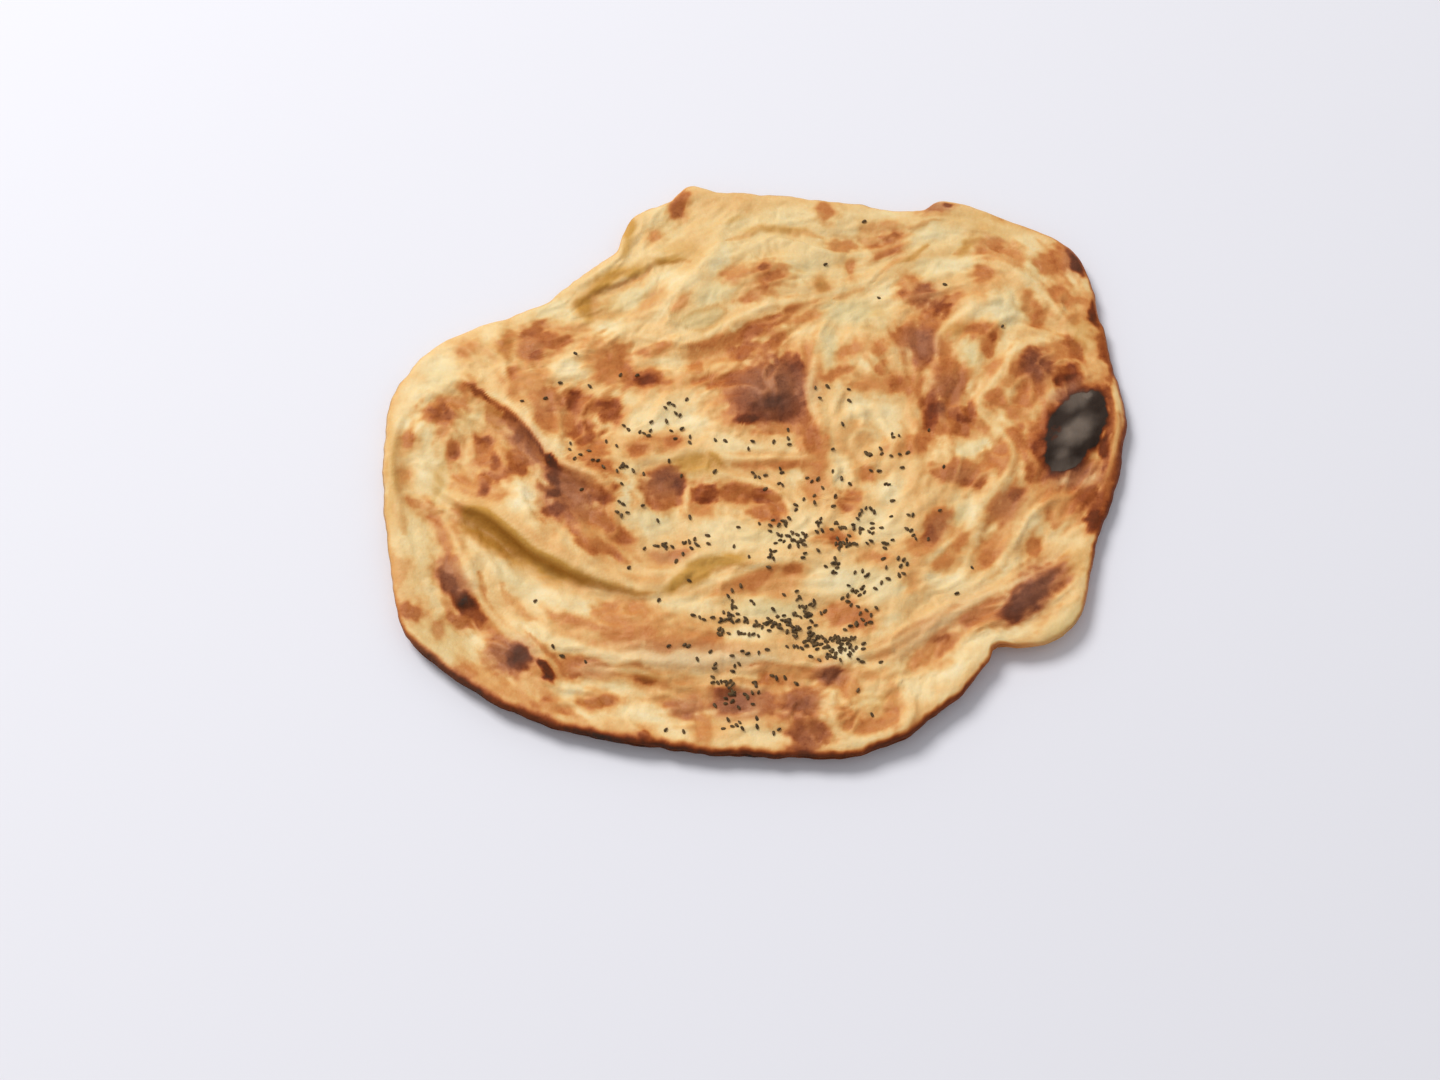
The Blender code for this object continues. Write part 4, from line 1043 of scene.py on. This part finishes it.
def mix_color(tree, amount, first, second):
    """A mix of two colours; sockets 6 and 7 are the node's colour inputs."""
    return node(tree, "ShaderNodeMix", {0: amount, 6: first, 7: second}, data_type="RGBA").outputs[2]


def noise(tree, vector, scale, detail, roughness=0.55):
    inputs = {"Vector": vector, "Scale": scale, "Detail": detail, "Roughness": roughness}
    return node(tree, "ShaderNodeTexNoise", inputs).outputs["Fac"]


def attribute(tree, name):
    """A value that the mesh carries at each point."""
    return node(tree, "ShaderNodeAttribute", attribute_name=name).outputs["Fac"]


def grey(value):
    return [value, value, value, 1.0]


# %% The crust
TONES = [
    (0.00, linear(238, 223, 183)), (0.12, linear(234, 207, 153)), (0.25, linear(228, 187, 125)),
    (0.36, linear(219, 166, 101)), (0.46, linear(208, 144, 80)), (0.56, linear(194, 121, 61)),
    (0.66, linear(173, 97, 42)), (0.76, linear(148, 73, 25)), (0.86, linear(119, 51, 11)),
    (0.94, linear(86, 37, 8)), (1.00, linear(46, 34, 26)),
]
RAW_AND_SHADE_TONES = [(0.0, linear(214, 196, 146)), (0.3, linear(206, 178, 118)), (0.6, linear(182, 122, 66)),
             (1.0, linear(46, 37, 31))]
OIL_AND_SHADE_TONES = [(0.0, linear(218, 171, 92)), (0.3, linear(196, 144, 64)), (0.6, linear(152, 98, 26)),
             (1.0, linear(72, 42, 12))]
# The last step, a lighter grey, is the painted sheen on the big charred blister.
ASH_AND_SHEEN_TONES = [(0.0, linear(226, 190, 150)), (0.5, linear(176, 120, 86)), (0.66, linear(148, 94, 66)),
             (0.76, linear(122, 78, 56)), (0.86, linear(98, 62, 46)), (0.96, linear(84, 58, 46)),
             (1.0, linear(112, 98, 86))]
BROAD_SHIFT, FINE_SHIFT, SPECK_SHIFT, MEAN_SHIFT = 0.22, 0.11, 0.06, 0.15
RAW_AND_SHADE_STRENGTH, ASH_AND_SHEEN_STRENGTH = 0.8, 0.75
crust = bpy.data.materials.new("crust")
crust.use_nodes = True
tree = crust.node_tree
shader = tree.nodes["Principled BSDF"]
place_on_bread = node(tree, "ShaderNodeTexCoord").outputs["Object"]
tone, oily_and_shaded = attribute(tree, "toast_shade_and_highlight"), attribute(tree, "oil_and_shade")
rawness_and_shade, ashiness_and_sheen = attribute(tree, "raw_and_shade"), attribute(tree, "ash_and_sheen")

broad = noise(tree, place_on_bread, 70, 4)
fine = noise(tree, place_on_bread, 420, 3, 0.6)
broad_part = math_node(tree, "MULTIPLY", broad, BROAD_SHIFT)
fine_part = math_node(tree, "MULTIPLY", fine, FINE_SHIFT)
shift = math_node(tree, "ADD", broad_part, fine_part)
browned = math_node(tree, "SUBTRACT", step_node(tree, tone, 0.42, 0.62), step_node(tree, tone, 0.76, 0.9))
specks = step_node(tree, noise(tree, place_on_bread, 300, 2, 0.7), 0.5, 0.68)
specks = math_node(tree, "MULTIPLY", specks, browned)
shift = math_node(tree, "ADD", shift, math_node(tree, "MULTIPLY", specks, SPECK_SHIFT))
tone = math_node(tree, "ADD", tone, math_node(tree, "SUBTRACT", shift, MEAN_SHIFT), clamp=True)
raw_and_shade_part = math_node(tree, "MULTIPLY", rawness_and_shade, RAW_AND_SHADE_STRENGTH)
ash_and_sheen_part = math_node(tree, "MULTIPLY", ashiness_and_sheen, ASH_AND_SHEEN_STRENGTH)
color = mix_color(tree, raw_and_shade_part, ramp(tree, tone, TONES), ramp(tree, tone, RAW_AND_SHADE_TONES))
color = mix_color(tree, ash_and_sheen_part, color, ramp(tree, tone, ASH_AND_SHEEN_TONES))
color = mix_color(tree, oily_and_shaded, color, ramp(tree, tone, OIL_AND_SHADE_TONES))
tree.links.new(color, shader.inputs["Base Color"])

rough = ramp(tree, tone, [(0.0, grey(0.52)), (0.6, grey(0.46)), (1.0, grey(0.8))])
tree.links.new(rough, shader.inputs["Roughness"])
shader.inputs["IOR"].default_value = 1.42
shader.inputs["Specular IOR Level"].default_value = 0.25
shader.inputs["Subsurface Weight"].default_value = 0.12
shader.inputs["Subsurface Radius"].default_value = (1.0, 0.55, 0.25)
shader.inputs["Subsurface Scale"].default_value = 2.5 * MM

pits = noise(tree, place_on_bread, 900, 4, 0.6)
bumps = math_node(tree, "ADD", math_node(tree, "MULTIPLY", pits, 0.5), fine)
bump = node(tree, "ShaderNodeBump", {"Height": bumps, "Strength": 0.5, "Distance": 0.7 * MM})
tree.links.new(bump.outputs["Normal"], shader.inputs["Normal"])
malawach.data.materials.append(crust)
print("crust: one tone ramp with", len(TONES), "steps")

# %% [markdown]
# ## Nigella seeds
#
# Nigella seeds are small, black and angular, pointed at one end, and about 2.5 mm long. They were
# strewn by hand, so they lie thick over the middle front and thin out from there: showers of them by
# chance, and those that lie apart each in a place of its own. The height of a place is found by looking
# straight down onto the finished crust, and the seed is laid flat on the slope it meets.

# %% Where they fall
# (x, y, half length, half width in mm, turn in degrees, how many)
SEED_SHOWERS = [
    (-12, -84, 5, 6, 0, 9), (-6, -90, 10, 2.5, -8, 18), (6, -91, 9, 2.5, 0, 15), (22, -84, 8, 5, 30, 22),
    (18, -93, 10, 5, -20, 24), (24, -99, 9, 6, -20, 24), (37, -100, 9, 3.5, 8, 22),
    (34, -107, 9, 2.5, 20, 16), (42, -105, 3, 4, 0, 6), (0, -97, 18, 1.5, 0, 9), (-16, -95, 3, 3, 0, 4),
    (44, -77, 9, 3, 15, 5), (44, -92, 9, 3, 20, 6), (-14, -115, 6, 6, 0, 6), (-14, -124, 5, 4, 70, 9),
    (-2, -124, 4, 4, 0, 5), (-10, -134, 9, 8, 0, 6), (14, -44, 9, 9, 0, 20), (19, -47, 4, 6, 0, 12),
    (36, -40, 8, 4, 0, 13), (42, -51, 8, 3, 0, 14), (53, -43, 6, 6, 0, 4), (60, -52, 8, 6, 0, 3),
    (7, -56, 8, 5, 0, 5), (34, -62, 6, 4, 0, 8), (58, -67, 10, 3, 0, 7), (67, -60, 4, 4, 0, 4),
    (-44, -52, 3, 2, 15, 6), (-31, -49, 3, 1.5, 15, 6), (-64, -12, 3, 1.5, 25, 5), (-42, 16, 15, 10, 0, 5),
    (36, 31, 14, 5, 0, 5), (-2, -12, 10, 8, 0, 2), (28, -28, 12, 6, 0, 2), (53, -3, 2, 1.5, 20, 5),
]
# (x, y) in mm
LONE_SEEDS = [
    (-88, 52), (-95, 36), (-81, 35), (-103, -79), (-94, -103), (-90, -107), (-79, -110), (61, 86),
    (35, 106), (94, 93), (121, 69), (55, 132), (-102, 27), (-113, 24), (-58, 42), (-66, 42), (100, -62),
    (92, -76), (-44, 22.5), (-39, 20), (-37, 19), (-36, 11.5), (-41, 10), (-32, 7), (-32, 3.5), (-39, 6),
    (-56, 9), (-54, 8), (-51, 10), (-52, 7), (-64, 13), (-61.5, 10.5), (-72, 3.5), (-67, 0.5), (-89, 1),
    (-89, -3), (-80, -3), (-84, -6), (-86.5, -8.5), (-78, -9), (-75.5, -9), (-73, -13), (-66.5, -14.5),
    (-59, -13), (-54, -14), (-42, -6), (-15, 4), (-20, 4.5), (-4, 0), (-2, 3.5), (-2, -12), (-1, -14),
    (-20, -12), (-36, -14), (-64, -21.5), (-83, -23), (-65, -31), (-63, -32), (-54, -32), (-66, -36.5),
    (-64, -38), (-61, -36), (-47, -39), (-32, -37), (-9, -42), (-23.5, -46.5), (-28, -52), (-23, -51),
    (-31, -53.5), (-48, -52), (-40, -52), (-53, -53.5), (-35, -56.5), (-38, -60), (-11, -52), (-4, -58),
    (15, 10), (41, 12), (83, 12), (8, 3), (15, 5), (15.5, 2), (36, -1), (59, 0), (59.5, -2.5), (65, 8),
    (65.5, 6), (68, 7), (68, -3), (72, -2), (64, -4), (69, -10), (89, -10), (11, -10), (12, -12),
    (10.5, -18), (12, -19), (58, -12), (54, -12), (36, -13), (40, -16), (44, -19), (61, -19), (62.5, -20),
    (24, -15), (26, -17), (29, -16), (31, -21), (4, -21), (37, -26), (27, -25), (27, -29), (18, -30.5),
    (18, -33), (64, -28), (86, -33), (48, -36), (49, -34), (51, -32), (53.5, -32.5), (55, -34), (47, -38),
    (63, -37), (71, -36), (73, -36), (15, -38), (1, -40), (6, -41), (28, -40), (54, -40), (54, -43),
    (58, -43), (49, -43), (54, -46), (70, -43), (72, -44), (73, -46.5), (74, -48.5), (80, -48), (59, -51),
    (63, -49), (53, -50), (22, -57), (21, -59), (28, -55), (6, -55), (-60, -64), (-32, -70), (5, -63),
    (-8, -71.5), (-12, -74), (-14, -77), (-3, -79.5), (-2, -81.5), (12, -76.5), (18, -75), (18, -79),
    (-46, -81), (-30, -88), (-27, -89), (-25, -90), (7, -84), (39, -78.5), (41.5, -77), (29, -85),
    (31, -84), (46, -75), (48, -74), (49.5, -76), (47, -77.5), (46, -83), (47, -86.5), (48, -89.5),
    (50, -85), (52, -87.5), (54.5, -84), (51.5, -91), (45, -66), (51, -67.5), (37, -63.5), (42, -72.5),
    (43, -82), (-41, -104), (-34, -103), (-32, -103.5), (-28, -110), (-22, -106), (-20, -112), (-9, -111.5),
    (-7.5, -106), (-5, -107), (0, -107), (4, -105), (-21, -117.5), (-17, -120), (-13, -120), (-2, -120),
    (6, -116.5), (8, -117.5), (12, -117), (17, -120), (45.5, -109), (47.5, -110), (56, -110.5),
    (48, -104.5), (45, -124), (51, -136.5), (-20, -131), (-14, -138), (-16, -143), (-12, -142),
    (-10, -141.5), (-1, -138), (-1, -142), (9, -143), (6.5, -145), (-42, -143.5), (-34, -144.5),
]
SHOWER_SPREAD = 0.6          # of the half length and half width, for two seeds in three
chance = np.random.default_rng(7)
spots = list(LONE_SEEDS)
for cx, cy, half_length, half_width, turn, count in SEED_SHOWERS:
    c, s = math.cos(math.radians(turn)), math.sin(math.radians(turn))
    for along, across in chance.normal(0, SHOWER_SPREAD, (count, 2)) * (half_length, half_width):
        spots.append((cx + c * along - s * across, cy + s * along + c * across))
print(len(spots), "seeds")

# %% The seeds as one joined mesh
SEED_LENGTH, SEED_WIDTH = 2.6 * MM, 1.9 * MM
SEED_TAPER = 0.45
SEED_SINK = 0.25             # share of its width that a seed lies sunk into the crust
SMALLEST_SEED, BIGGEST_SEED = 0.85, 1.15
UP, DOWN = Vector((0, 0, 1)), Vector((0, 0, -1))
HIGH_ABOVE = 1.0             # metres


def add_seed(bm, spot, normal, spin, size):
    """One seed, long axis flat on the crust, thick at one end and pointed at the other."""
    made = bmesh.ops.create_uvsphere(bm, u_segments=5, v_segments=4, radius=0.5)
    for vert in made["verts"]:
        along, across, up = vert.co.z, vert.co.x, vert.co.y
        taper = 1 - SEED_TAPER * (along + 0.5)
        vert.co = Vector((along * SEED_LENGTH, across * SEED_WIDTH * taper, up * SEED_WIDTH * taper)) * size
        vert.co.rotate(UP.rotation_difference(normal))
        vert.co.rotate(spin)
        vert.co += spot + normal * SEED_WIDTH * (0.5 - SEED_SINK)


seeds_bm = bmesh.new()
for sx, sy in spots:
    spot, normal, _, _ = surface.ray_cast(Vector((sx * MM, sy * MM, HIGH_ABOVE)), DOWN)
    spin = Quaternion(normal, chance.uniform(0, 2 * math.pi))
    add_seed(seeds_bm, spot, normal, spin, chance.uniform(SMALLEST_SEED, BIGGEST_SEED))
bmesh.ops.recalc_face_normals(seeds_bm, faces=seeds_bm.faces)
seed_mesh = bpy.data.meshes.new("nigella_seeds")
seeds_bm.to_mesh(seed_mesh)
seeds_bm.free()
nigella = bpy.data.objects.new("nigella_seeds", seed_mesh)
bpy.context.scene.collection.objects.link(nigella)
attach(nigella, "root")
print(f"seeds: {len(seed_mesh.polygons)} faces")

# %% The seeds' skin
seed_skin = bpy.data.materials.new("seed_skin")
seed_skin.use_nodes = True
tree = seed_skin.node_tree
shader = tree.nodes["Principled BSDF"]
place_on_seed = node(tree, "ShaderNodeTexCoord").outputs["Object"]
patches = noise(tree, place_on_seed, 500, 2)
dark = ramp(tree, patches, [(0.35, linear(62, 47, 28)), (0.65, linear(108, 84, 52))])
tree.links.new(dark, shader.inputs["Base Color"])
shader.inputs["Roughness"].default_value = 0.6
shader.inputs["Specular IOR Level"].default_value = 0.2
nigella.data.materials.append(seed_skin)

# %% [markdown]
# ## The studio
#
# The bread lies on a plain white floor. One big soft light hangs up and behind to the left, and the
# room fills the shadows. The camera looks down on the bread from the front, as over a table.

# %% Floor
FLOOR_REACH = 6.0            # metres
floor_bm = bmesh.new()
bmesh.ops.create_grid(floor_bm, x_segments=1, y_segments=1, size=FLOOR_REACH)
floor_mesh = bpy.data.meshes.new("floor")
floor_bm.to_mesh(floor_mesh)
floor_bm.free()
floor = bpy.data.objects.new("floor", floor_mesh)
bpy.context.scene.collection.objects.link(floor)
paper = bpy.data.materials.new("floor_paper")
paper.use_nodes = True
shader = paper.node_tree.nodes["Principled BSDF"]
shader.inputs["Base Color"].default_value = linear(228, 227, 232)
shader.inputs["Roughness"].default_value = 0.9
floor_mesh.materials.append(paper)

# %% Light and camera
CAMERA_SPOT, CAMERA_TARGET = (-0.0176, -0.5293, 0.9755), (-0.0176, -0.0430, 0.0)


def aim(obj, spot, target):
    """Put a lamp or a camera in its place, looking at its target."""
    obj.location = spot
    obj.rotation_euler = (Vector(target) - Vector(spot)).to_track_quat("-Z", "Y").to_euler()
    bpy.context.scene.collection.objects.link(obj)


def soft_light(name, spot, size, watts):
    lamp = bpy.data.lights.new(name, "AREA")
    lamp.shape = "DISK"
    lamp.size = size
    lamp.energy = watts
    aim(bpy.data.objects.new(name, lamp), spot, (0, 0, 0))


soft_light("window", (-1.5, 1.4, 2.5), 1.5, 80)
world = bpy.data.worlds.new("room")
bpy.context.scene.world = world
world.use_nodes = True
background = world.node_tree.nodes["Background"]
background.inputs["Color"].default_value = linear(250, 251, 255)
background.inputs["Strength"].default_value = 0.53

camera_data = bpy.data.cameras.new("camera")
camera_data.lens = 57.5
camera_data.sensor_width = 36
camera = bpy.data.objects.new("camera", camera_data)
aim(camera, CAMERA_SPOT, CAMERA_TARGET)
bpy.context.scene.camera = camera
bpy.context.scene.view_settings.view_transform = "Standard"
